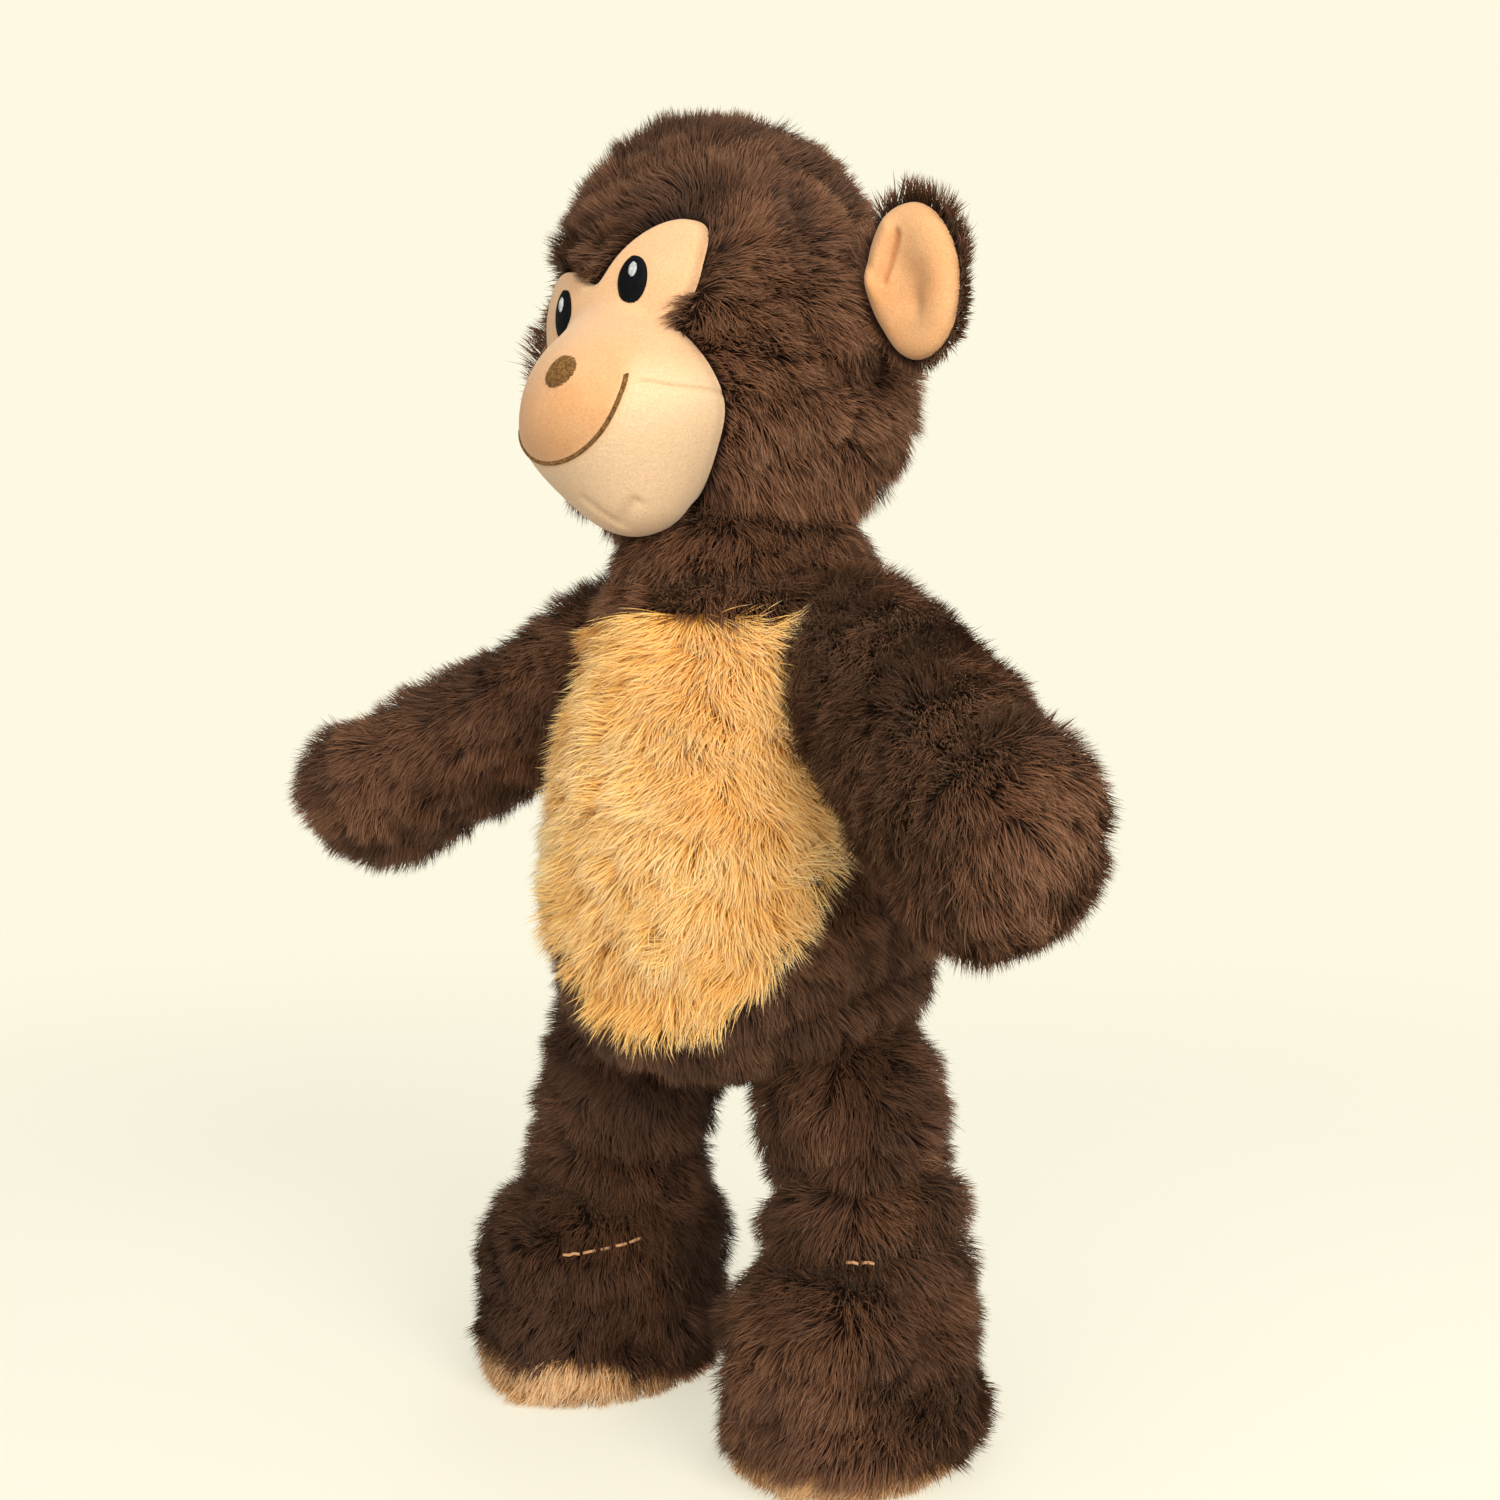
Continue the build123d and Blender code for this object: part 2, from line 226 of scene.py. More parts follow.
def closed_skin(grid):
    """A grid with a pole at each end, as points, outward faces, triangles and normals."""
    points, faces = grid_points(grid), grid_faces(len(grid), grid.shape[1])
    tris = triangles(faces)
    a, b, c = (points[tris[:, k]] for k in range(3))
    if np.sum(a * np.cross(b, c)) < 0:
        faces = [face[::-1] for face in faces]
        tris = triangles(faces)
    return points, faces, tris, point_normals(points, tris)


def scatter(points, normals, tris, per_cm2, seed):
    """Roots spread evenly over a surface: places and normals."""
    rng = np.random.default_rng(seed)
    a, b, c = (points[tris[:, k]] for k in range(3))
    area = np.linalg.norm(np.cross(b - a, c - a), axis=1) / 2
    count = int(area.sum() / 100 * per_cm2)
    chosen = tris[rng.choice(len(tris), count, p=area / area.sum())]
    u, v = rng.random((2, count, 1))
    fold = (u + v) > 1
    u, v = np.where(fold, 1 - u, u), np.where(fold, 1 - v, v)
    corners = [points[chosen[:, k]] for k in range(3)]
    turned = [normals[chosen[:, k]] for k in range(3)]
    place = corners[0] * (1 - u - v) + corners[1] * u + corners[2] * v
    normal = unit(turned[0] * (1 - u - v) + turned[1] * u + turned[2] * v)
    return place, normal


# ---- fur ----------------------------------------------------------------------------------
SINK = 0.6                                        # how deep a root sits in the cloth
LOWEST = 0.4                                      # how far above the ground cloth and pile stay
MOST_FACES = 180000                               # triangles in one fur piece
PRESSED = 2.0                                     # how far the cloth lies inside the CAD cover
PARTED = 0.45                                     # how much of its length the pile loses in a crease
PAINTED_SHADE_WHERE_SHORT = 0.6                             # how much darker the pile is painted where it is short: painted shade in creases, at seams and edges

BROWN_COAT = dict(length=10.5, width=0.33, per_cm2=290, segments=3, lean=46, tuft=(7, 7, 6), gather=0.2,
                  tuft_lean=16, tuft_turn=30, swirl=34, swirl_size=26, jitter=12, ripple=(13, 24),
                  ripple_way=-1, patch=(20, 20), droop=0.05, tone_and_painted_shade=0.0)
BELLY_COAT = dict(length=14.5, width=0.33, per_cm2=280, segments=4, lean=60, tuft=(8, 8, 7), gather=0.28,
                  tuft_lean=12, tuft_turn=46, swirl=85, swirl_size=24, jitter=15, ripple=(15, 8),
                  ripple_way=1, patch=(20, 8), droop=0.06, tone_and_painted_shade=0.0)


def swollen(grid, lump):
    """A grid of rings with its points moved out from its axis."""
    return grid + unit(grid * (1, 1, 0)) * lump[..., None]


def creases(points, size, seed, squash=(0.55, 0.55, 1.3)):
    """0 to 1: how near each point is to one of the wandering creases between lumps of stuffing."""
    return np.exp(-(smooth_noise(points * np.array(squash), size, seed) / 0.14) ** 2)


def grow(name, place, roots, normals, lay, coat, material, seed, scale=1.0, floor=None):
    """Fur on a surface. `lay` is the way that it lies at each root, and `scale` its length there; where
    `scale` is below 1 the pile is also painted darker, as shade.
    """
    rng = np.random.default_rng(seed)
    count, segments = len(roots), coat["segments"]
    along = unit(lay - normals * dot(lay, normals))
    across = np.cross(normals, along)
    centres, keys = clumps(roots + 0.5 * rng.normal(size=(count, 3)), np.array(coat["tuft"]), seed)

    turn = coat["swirl"] * smooth_noise(roots, coat["swirl_size"], seed + 11)
    turn = turn + coat["tuft_turn"] * (2 * keys[:, 0] - 1) + coat["jitter"] * rng.normal(size=count)
    turn = np.radians(turn)[:, None]
    heading = along * np.cos(turn) + across * np.sin(turn)

    spacing, swing = coat["ripple"]
    phase = (roots[:, 2] + 6 * smooth_noise(roots, 24, seed + 13)) / spacing
    rippled = swing * (1 - 2 * (phase - np.floor(phase))) * (0.6 + 0.4 * smooth_noise(roots, 18, seed + 23))
    patch_size, patch_lean = coat["patch"]
    lean = coat["lean"] + rippled * coat["ripple_way"] + coat["tuft_lean"] * (2 * keys[:, 1] - 1)
    lean = lean + patch_lean * smooth_noise(roots * (1, 1, 1.6), patch_size, seed + 31)
    lean = np.clip(lean + coat["jitter"] * rng.normal(size=count), 4, 82)

    length = coat["length"] * scale * (0.88 + 0.24 * hashed(np.floor(centres * 7), seed + 17))
    length = (length * (1 + 0.06 * rng.normal(size=count)))[:, None]
    to_centre = centres - roots
    to_centre = to_centre - normals * dot(to_centre, normals)
    reach = np.linalg.norm(to_centre, axis=1, keepdims=True)
    to_centre = to_centre * np.minimum(1, 7 / np.maximum(reach, 1e-6))
    down = place.local((0, 0, -1))

    spine = [roots - normals * SINK]
    for part in range(segments):
        bend = 0.6 + 0.55 * part / (segments - 1)
        angle = np.radians(np.minimum(lean * bend, 96))[:, None]
        step = normals * np.cos(angle) + heading * np.sin(angle)
        spine.append(spine[-1] + step * (length / segments))
    for part in range(1, segments + 1):
        share = (part / segments) ** 2
        spine[part] = spine[part] + (to_centre * coat["gather"] + down * length * coat["droop"]) * share

    middle = unit(spine[-2] - spine[1])
    flat = unit(np.cross(middle, normals))
    roll = (0.5 * rng.normal(size=count))[:, None]
    side = flat * np.cos(roll) + np.cross(middle, flat) * np.sin(roll)
    side = np.where(dot(np.cross(side, middle), normals) < 0, -side, side)
    facing = unit(np.cross(side, middle))

    corners = 2 * segments + 1
    points, shades = np.empty((2, count, corners, 3))
    width = coat["width"] * (1 + 0.2 * rng.normal(size=(count, 1))).clip(0.5, 1.5)
    for part in range(segments):
        half = side * width * (1 - 0.35 * (part / (segments - 1)) ** 2) / 2
        points[:, 2 * part], points[:, 2 * part + 1] = spine[part] - half, spine[part] + half
        shades[:, 2 * part] = unit(facing + 0.6 * normals - 0.5 * side)
        shades[:, 2 * part + 1] = unit(facing + 0.6 * normals + 0.5 * side)
    points[:, -1] = spine[-1]
    shades[:, -1] = unit(facing + 0.6 * normals)

    # Each strand's tone: random variation plus the painted light and shade that its coat sets.
    tone_and_painted_shade = 0.5 + coat["tone_and_painted_shade"] + 0.46 * smooth_noise(roots, 14, seed + 19) + 0.3 * (keys[:, 0] - 0.5)
    # Painted shade: pile shortened in a crease, at a seam or by an edge is made darker.
    tone_and_painted_shade = tone_and_painted_shade - PAINTED_SHADE_WHERE_SHORT * (1 - np.minimum(scale, 1))
    tone_and_painted_shade = np.clip(tone_and_painted_shade + 0.2 * rng.normal(size=count), 0.02, 0.98)
    points = place.world(points)
    if floor is not None:
        points[..., 2] = np.maximum(points[..., 2], floor * MM)
    shades = shades @ place.turn

    pieces = max(1, -(-count * (2 * segments - 1) // MOST_FACES))
    order = np.argsort(roots[:, 2], kind="stable")
    for number, chosen in enumerate(np.array_split(order, pieces)):
        title = name if pieces == 1 else f"{name}_{number + 1}"
        fur_mesh(title, place, points[chosen], shades[chosen], tone_and_painted_shade[chosen], material)


def fur_mesh(name, place, points, shades, tone_and_painted_shade, material):
    """One mesh of ribbons, each of quads and a tip. Its UV holds the strand's tone, painted light and shade
    included, and the root-to-tip share.
    """
    count, per_strand = points.shape[:2]
    segments = (per_strand - 1) // 2
    ladder = [(2 * k, 2 * k + 1, 2 * k + 3, 2 * k + 2) for k in range(segments - 1)]
    tip = (2 * segments - 2, 2 * segments - 1, 2 * segments)
    strand = np.array([corner for face in ladder for corner in face] + list(tip))
    mesh = bpy.data.meshes.new(name)
    mesh.vertices.add(count * per_strand)
    mesh.vertices.foreach_set("co", points.astype(np.float32).ravel())
    mesh.loops.add(count * len(strand))
    corners = (np.arange(count)[:, None] * per_strand + strand).ravel()
    mesh.loops.foreach_set("vertex_index", corners.astype(np.int32))
    mesh.polygons.add(count * segments)
    starts = (np.arange(count)[:, None] * len(strand) + 4 * np.arange(segments)).ravel()
    mesh.polygons.foreach_set("loop_start", starts.astype(np.int32))
    mesh.update(calc_edges=True)
    mesh.polygons.foreach_set("use_smooth", np.ones(count * segments, bool))
    share = np.minimum(np.arange(per_strand) // 2, segments) / segments * 0.96 + 0.02
    spread = np.where(np.arange(per_strand) % 2, 0.015, -0.015)
    uv = np.empty((count, len(strand), 2), np.float32)
    uv[..., 0] = np.clip(tone_and_painted_shade[:, None] + spread[strand], 0.005, 0.995)
    uv[..., 1] = share[strand]
    mesh.uv_layers.new(name="OFBake").data.foreach_set("uv", uv.ravel())
    mesh.normals_split_custom_set_from_vertices(shades.reshape(-1, 3))
    new_object(name, mesh, place, material)


# ---- materials ----------------------------------------------------------------------------
def colour(code):
    """A linear colour from a screen colour such as "8a6a50"."""
    parts = [int(code[k:k + 2], 16) / 255 for k in (0, 2, 4)]
    return tuple(c / 12.92 if c <= 0.04045 else ((c + 0.055) / 1.055) ** 2.4 for c in parts) + (1,)


def new_material(name, roughness, sheen=0.0, sheen_tint="ffffff", specular=0.3):
    material = bpy.data.materials.new(name)
    material.use_nodes = True
    nodes, links = material.node_tree.nodes, material.node_tree.links
    shader = nodes["Principled BSDF"]
    shader.inputs["Roughness"].default_value = roughness
    shader.inputs["Specular IOR Level"].default_value = specular
    shader.inputs["Sheen Weight"].default_value = sheen
    shader.inputs["Sheen Roughness"].default_value = 0.5
    shader.inputs["Sheen Tint"].default_value = colour(sheen_tint)
    return material, nodes, links, shader


def ramp(nodes, stops):
    node = nodes.new("ShaderNodeValToRGB")
    elements = node.color_ramp.elements
    while len(elements) < len(stops):
        elements.new(0.5)
    for element, (where, code) in zip(elements, stops):
        element.position = where
        element.color = colour(code)
    return node


def mix(nodes, links, share, first, second, blend="MIX"):
    node = nodes.new("ShaderNodeMix")
    node.data_type = "RGBA"
    node.blend_type = blend
    ends = [socket for socket in node.inputs if socket.type == "RGBA"]
    for socket, value in zip([node.inputs[0], *ends], (share, first, second)):
        if isinstance(value, bpy.types.NodeSocket):
            links.new(value, socket)
        else:
            socket.default_value = value
    return next(socket for socket in node.outputs if socket.type == "RGBA")


def fur_material(name, dark, light, sheen_tint, sheen=0.25, roughness=0.6):
    """Pile that is `dark` or `light` by its strand's tone, painted light and shade included, each a list of
    (share of the length, colour).
    """
    material, nodes, links, shader = new_material(name, roughness, sheen, sheen_tint, 0.25)
    uv = nodes.new("ShaderNodeUVMap")
    uv.uv_map = "OFBake"
    split = nodes.new("ShaderNodeSeparateXYZ")
    links.new(uv.outputs["UV"], split.inputs["Vector"])
    ends = []
    for stops in (dark, light):
        node = ramp(nodes, stops)
        links.new(split.outputs["Y"], node.inputs["Fac"])
        ends.append(node.outputs["Color"])
    links.new(mix(nodes, links, split.outputs["X"], *ends), shader.inputs["Base Color"])
    return material


def noise(nodes, links, size, detail):
    """Noise with lumps `size` millimetres across."""
    place = nodes.new("ShaderNodeTexCoord")
    node = nodes.new("ShaderNodeTexNoise")
    node.inputs["Scale"].default_value = 1 / (size * MM)
    node.inputs["Detail"].default_value = detail
    links.new(place.outputs["Object"], node.inputs["Vector"])
    return node.outputs["Fac"]


def noise_colour(nodes, links, size, stops, detail=3.0):
    """Colour that follows noise with lumps `size` millimetres across."""
    node = ramp(nodes, stops)
    links.new(noise(nodes, links, size, detail), node.inputs["Fac"])
    return node.outputs["Color"]


def add_bump(nodes, links, shader, sizes, distance=0.3):
    """Fine roughness of cloth, as layers of (size in millimetres, strength)."""
    normal = None
    for size, strength in sizes:
        bump = nodes.new("ShaderNodeBump")
        bump.inputs["Strength"].default_value = strength
        bump.inputs["Distance"].default_value = distance * MM
        links.new(noise(nodes, links, size, 2.0), bump.inputs["Height"])
        if normal:
            links.new(normal, bump.inputs["Normal"])
        normal = bump.outputs["Normal"]
    links.new(normal, shader.inputs["Normal"])


def under_fur_material(name, stops):
    """Backing cloth between the roots of the pile."""
    material, nodes, links, shader = new_material(name, 0.95, specular=0.1)
    links.new(noise_colour(nodes, links, 3, stops), shader.inputs["Base Color"])
    add_bump(nodes, links, shader, [(0.8, 0.6)])
    return material


def velour_material(name):
    """Short peach pile, paler where the value `pale` of its points says, with a soft nap."""
    material, nodes, links, shader = new_material(name, 0.85, 0.45, "fff0dd", 0.12)
    broad = noise_colour(nodes, links, 14, [(0.3, "e4aa74"), (0.7, "ecb884")])
    fine = noise_colour(nodes, links, 0.7, [(0.32, "c9c0b6"), (0.68, "ffffff")], 4.0)
    tone = nodes.new("ShaderNodeAttribute")
    tone.attribute_name = "pale"
    paled = mix(nodes, links, tone.outputs["Fac"], broad, colour("f4d4ac"))
    links.new(mix(nodes, links, 0.35, paled, fine, "MULTIPLY"), shader.inputs["Base Color"])
    add_bump(nodes, links, shader, [(0.5, 0.5), (2.2, 0.35)], 0.35)
    return material


def thread_material(name, dark, light, sheen=0.3, specular=0.3):
    """Twisted embroidery thread."""
    material, nodes, links, shader = new_material(name, 0.55, sheen, light, specular)
    links.new(noise_colour(nodes, links, 0.9, [(0.3, dark), (0.7, light)]), shader.inputs["Base Color"])
    add_bump(nodes, links, shader, [(0.25, 0.5)], 0.12)
    return material


# Each fur ramp runs from root to tip: darker at the root, partly the pile's own colour and partly painted
# shade deep in the pile.
brown_fur = fur_material(
    "brown_fur",
    [(0.0, "0f0805"), (0.35, "2f1c11"), (0.75, "503422"), (1.0, "65452f")],
    [(0.0, "1b0f08"), (0.35, "4b2f1d"), (0.75, "84593d"), (1.0, "b28a69")], "c9a98c")
belly_fur = fur_material(
    "belly_fur",
    [(0.0, "d0963e"), (0.35, "f6b452"), (0.75, "ffca6e"), (1.0, "ffdc94")],
    [(0.0, "e4a64a"), (0.35, "ffc864"), (0.75, "ffe49e"), (1.0, "fff6da")], "ffe9c8")
sole_fur = fur_material(
    "sole_fur",
    [(0.0, "a06c3c"), (0.4, "dca262"), (1.0, "f4c88a")],
    [(0.0, "b47c48"), (0.4, "efba78"), (1.0, "ffeac4")], "ffe9c8")
brown_cloth = under_fur_material("brown_backing", [(0.3, "1b100b"), (0.7, "2e1d13")])
belly_cloth = under_fur_material("belly_backing", [(0.3, "c98a42"), (0.7, "e0a458")])
sole_cloth = under_fur_material("sole_backing", [(0.3, "b98755"), (0.7, "d8aa76")])
face_velour = velour_material("face_velour")
black_thread = thread_material("black_embroidery", "020305", "090c12", sheen=0.0, specular=0.12)
light_thread = thread_material("light_embroidery", "9aa1a6", "dfe3e6")
brown_thread = thread_material("brown_embroidery", "4e3214", "a67c42", sheen=0.1)
tan_thread = thread_material("tan_thread", "b9865a", "dcae80")


# ---- torso --------------------------------------------------------------------------------
TORSO_PROFILE = [(0, 107), (30, 111), (50, 124), (58, 150), (57, 185), (51, 218), (44, 240), (36, 256)]
TORSO_DEPTH = 0.95                                # of its width
BELLY_OUTLINE = [(0, 248), (30, 245), (44, 226), (49, 190), (43.5, 168), (35, 153), (21, 141), (0, 133)]
BELLY_SKEW = 0.32                                 # how much lower the patch reaches on its left

neck_pivot = pivot("neck_turn")
body_y = neck_pivot[1]
torso_place = Place("torso", (0, body_y, 0))


def rings(outline, columns, shape=None):
    """A grid of rings from (radius, height) points. `shape` may change its points."""
    angle = np.linspace(0, 2 * pi, columns, endpoint=False)
    radius, height = outline[:, :1], outline[:, 1:]
    grid = np.stack(np.broadcast_arrays(radius * np.cos(angle), radius * np.sin(angle), height), axis=-1)
    return grid if shape is None else shape(grid)


def pressed(profile):
    """A profile brought in by the pressed pile's thickness."""
    return [(max(radius - PRESSED, 0), height) for radius, height in profile]


def belly_half_width(height):
    """How far the belly patch reaches to each side at a height."""
    outline = through(BELLY_OUTLINE[::-1], 80)
    return np.interp(height, outline[:, 1], outline[:, 0], left=-1, right=-1)


def torso_creases(points):
    beside = (np.abs(points[..., 0]) > belly_half_width(points[..., 2]) + 4) | (points[..., 1] > 0)
    return creases(points, 24, 5) * beside * smooth_step(245, 232, points[..., 2])


def torso_shape(grid):
    grid = grid * (1, TORSO_DEPTH, 1)
    lump = smooth_noise(grid, 26, 3) * 1.8 - 2.0 * torso_creases(grid)
    return swollen(grid, lump * smooth_step(97, 110, grid[..., 2]))


def torso():
    outline = through(pressed(TORSO_PROFILE) + [(0, 262)], 130)
    grid = rings(outline, 220, torso_shape)
    points, faces, tris, normals = closed_skin(grid)

    def in_belly(place):
        wander = 1.2 * smooth_noise(place, 9, 29)
        height = place[:, 2] + BELLY_SKEW * place[:, 0] * smooth_step(190, 140, place[:, 2])
        return (place[:, 1] < 0) & (np.abs(place[:, 0]) < belly_half_width(height) + wander)

    centres = np.array([points[list(face)].mean(axis=0) for face in faces])
    golden = in_belly(centres)
    brown = mesh_piece("torso_skin", torso_place, points, [f for f, g in zip(faces, golden) if not g],
                       brown_cloth, "torso_cover", "torso_stuffing", "back_closing_stitches")
    mesh_piece("belly_skin", torso_place, points, [f for f, g in zip(faces, golden) if g],
               belly_cloth, "belly_patch")

    roots, out = scatter(points, normals, tris, BROWN_COAT["per_cm2"], 41)
    belly_roots = in_belly(roots)
    lay = np.tile((0.0, 0.0, -1.0), (len(roots), 1))
    lay[:, 0] += 0.45 * np.sign(roots[:, 0]) * (roots[:, 1] < 0)
    side = ~belly_roots
    height = roots[side][:, 2]
    # Painted shade: the side pile is darker low on the torso, towards the legs; it is also paler towards
    # the neck.
    coat = dict(BROWN_COAT, tone_and_painted_shade=0.2 * smooth_step(215, 245, height) - 0.3 * smooth_step(165, 125, height))
    scale = (1 - PARTED * torso_creases(roots[side])) * (0.5 + 0.5 * smooth_step(106, 122, height))
    grow("torso_fur", torso_place, roots[side], out[side], lay[side], coat, brown_fur, 43, scale)

    edge = belly_half_width(roots[:, 2]) - np.abs(roots[:, 0])
    outward = np.sign(roots[:, 0]) * smooth_step(16, 2, edge) * smooth_step(140, 165, roots[:, 2])
    lay = np.stack([0.6 * outward, 0 * outward, -np.ones(len(roots))], axis=-1)
    side = belly_roots
    # Painted shade: the belly's pile is darker towards its lower end.
    coat = dict(BELLY_COAT, tone_and_painted_shade=0.06 - 0.5 * smooth_step(166, 136, roots[side][:, 2]))
    grow("belly_fur", torso_place, roots[side], out[side], lay[side], coat, belly_fur, 47)


# ---- neck ---------------------------------------------------------------------------------
NECK_PROFILE = [(0, 252), (24, 253), (34, 258), (34, 268), (26, 284), (0, 294)]
NECK_FUR_FROM = 255


def neck():
    place = Place("neck", (0, body_y, 0))
    points, faces, tris, normals = closed_skin(rings(through(NECK_PROFILE, 40), 120))
    skin = mesh_piece("neck_skin", place, points, faces, brown_cloth,
                      "neck_cover", "neck_stuffing", "neck_seam_thread")
    side = points[tris][:, :, 2].mean(axis=1) > NECK_FUR_FROM
    roots, out = scatter(points, normals, tris[side], BROWN_COAT["per_cm2"], 51)
    lay = np.tile((0.0, 0.0, -1.0), (len(roots), 1))
    grow("neck_fur", place, roots, out, lay, dict(BROWN_COAT, tone_and_painted_shade=0.15), brown_fur, 53,
         1 - 0.6 * smooth_step(270, 279, roots[:, 2]))


# ---- head ---------------------------------------------------------------------------------
# In the head's own frame: its origin is where it nods, and it leans as the ears' axes say.
HEAD_PROFILE = [(0, 11), (30, 15.5), (46, 29), (52.5, 49), (52, 71), (48.5, 91), (41, 111), (26, 127),
                (0, 134)]
CROWN_BACK = 5                                    # how much further back its top lies
HEAD_MIDDLE = np.array([0, -10, 56])
MUZZLE = np.array([0, -44.8, 41])
MUZZLE_RADIUS = 32.5
MUZZLE_WIDTH = 0.99                               # of its height
CHIN_TAPER = 0.24                                 # how much of that it loses towards the chin
ARC = 50                                          # millimetres of skin for each radian round its middle
FACE_TILT = 5                                     # degrees that the left eye sits higher
TILT_HEIGHT = 62                                  # the height that the face is tilted about
FACE_RISE = 3.5                                   # how far the velour stands out from the cloth round it
LOBE = (17, 82)
LOBE_HALF = (14.5, 19, 13.5)                      # across, below its middle and above it
LOBE_LEAN = 0.45                                  # how far outwards its top leans
BRIDGE_HALF = 22
BRIDGE_HEIGHT = (43, 84)
CHIN_DENTS = [((-4, 19), (1, 11), 0.8), ((3, 12), (10, 16), 0.9)]     # from, to and depth
CHIN_DENT_WIDTH = 1.3
SEAM_HEIGHT = 45
MOUTH_TOP = 49
MOUTH_MIDDLE = -2.5
MOUTH_HALF = (24, 19.5)
EYE = (14.6, 79)
EYE_HALF = (4.9, 7.3)
GLINT_RISE = 2.4
GLINT_HALF = (1.8, 2.5)
NOSE = (3.4, 53.5)
NOSE_HALF = (5.4, 4.8)
FACE_HEART = np.array([0, -40, 66])               # the fur lies away from here
EAR_ROOT = np.array([54, -8, 61])
COLUMNS, FACE_RINGS, BACK_RINGS = 320, 110, 110

ear_axis = np.array(joints["ear_left_fold"]["axis"], float)
head_place = Place("head", pivot("head_nod"), (ear_axis[2], 0, -ear_axis[0]), ear_axis)


def ray_lengths(ways):
    """How far the head and the muzzle reach from the head's middle along each direction."""
    outline = through(pressed(HEAD_PROFILE), 400)
    near, far = np.zeros(ways.shape[:-1]), np.full(ways.shape[:-1], 160.0)
    for _ in range(36):
        middle = (near + far) / 2
        point = HEAD_MIDDLE + ways * middle[..., None]
        width = np.interp(point[..., 2], outline[:, 1], outline[:, 0], left=-1, right=-1)
        behind = point[..., 1] - CROWN_BACK * smooth_step(78, 112, point[..., 2])
        inside = np.hypot(point[..., 0], behind) < width
        near, far = np.where(inside, middle, near), np.where(inside, far, middle)
    start, height = HEAD_MIDDLE - MUZZLE, np.full(ways.shape[:-1], MUZZLE[2])
    for _ in range(12):
        narrow = 1 / (MUZZLE_WIDTH - CHIN_TAPER * smooth_step(44, 14, height)) ** 2
        a = (ways[..., :2] ** 2).sum(axis=-1) * narrow + ways[..., 2] ** 2
        b = ways[..., :2] @ start[:2] * narrow + ways[..., 2] * start[2]
        c = start[:2] @ start[:2] * narrow + start[2] ** 2 - MUZZLE_RADIUS ** 2
        reach = (np.sqrt(np.maximum(b * b - a * c, 0)) - b) / a
        height = 0.5 * height + 0.5 * (HEAD_MIDDLE[2] + ways[..., 2] * reach)
    return near, reach


def head_rays(polar, around):
    """Directions from the head's middle: polar angle from straight ahead, and angle round that."""
    polar, around = np.broadcast_arrays(polar, around)
    off = np.sin(polar)
    return np.stack([off * np.cos(around), -np.cos(polar), off * np.sin(around)], axis=-1)


def tilted(x, z, degrees):
    """Turns a place on the face, seen from the front, about the top of the muzzle."""
    turn, up = radians(degrees), z - TILT_HEIGHT
    return x * cos(turn) - up * sin(turn), TILT_HEIGHT + x * sin(turn) + up * cos(turn)


def head_surface(polar, around, edge):
    ways = head_rays(polar, around)
    head, muzzle = ray_lengths(ways)
    head = head + FACE_RISE * smooth_step(0.10, -0.12, polar - edge)
    blend = 3.5 + 9 * smooth_step(0.55, 1.0, np.sin(around))
    share = np.clip(0.5 + 0.5 * (muzzle - head) / blend, 0, 1)
    length = head * (1 - share) + muzzle * share + blend * share * (1 - share)
    length = length - 1.6 * np.exp(-((polar - edge) * length / 2.2) ** 2)
    points = HEAD_MIDDLE + ways * length[..., None]
    return points, ways


def face_edge(around):
    """The polar angle at which the velour ends and the fur begins."""
    polar = np.radians(np.linspace(2, 110, 500))[:, None]
    ways = head_rays(polar, around[None, :])
    head, muzzle = ray_lengths(ways)
    point = HEAD_MIDDLE + ways * np.maximum(head, muzzle)[..., None]
    x, z = tilted(point[..., 0], point[..., 2], -FACE_TILT)
    out = np.abs(x) - LOBE[0] - LOBE_LEAN * np.maximum(z - LOBE[1], 0)
    tall = np.where(z < LOBE[1], LOBE_HALF[1], LOBE_HALF[2])
    lobe = (out / LOBE_HALF[0]) ** 2 + ((z - LOBE[1]) / tall) ** 2 < 1
    bridge = (np.abs(x) < BRIDGE_HALF) & (z > BRIDGE_HEIGHT[0]) & (z < BRIDGE_HEIGHT[1])
    inside = (muzzle > head) | ((lobe | bridge) & (point[..., 1] < 0))
    last = np.array([np.nonzero(column)[0].max() for column in inside.T])
    edge = polar[last, 0]
    wrapped = np.concatenate([edge[-4:], edge, edge[:4]])
    return np.convolve(wrapped, np.ones(9) / 9, mode="valid")


def smile_depth(x, z):
    """How far a point of the face is below the line of the smile and the side seams."""
    run = np.clip(np.abs(x - MOUTH_MIDDLE) / MOUTH_HALF[0], 0, 1)
    line = np.where(run < 1, MOUTH_TOP - MOUTH_HALF[1] * np.sqrt(1 - run ** 2), SEAM_HEIGHT)
    return line - z


def groove(points, ways, start, end, depth, width):
    """Presses a line, drawn as seen from the front, into the surface."""
    start, end = np.array(start, float), np.array(end, float)
    flat = points[..., [0, 2]] - start
    run = end - start
    share = np.clip(flat @ run / (run @ run), 0, 1)
    away = np.linalg.norm(flat - share[..., None] * run, axis=-1)
    fade = np.where(points[..., 1] < 0, np.exp(-(away / width) ** 2), 0)
    return points - ways * (depth * fade)[..., None]


def head_creases(points, from_edge):
    """Partings across the furred part of the head."""
    return creases(points, 24, 62) * smooth_step(5, 14, from_edge) * smooth_step(124, 112, points[..., 2])


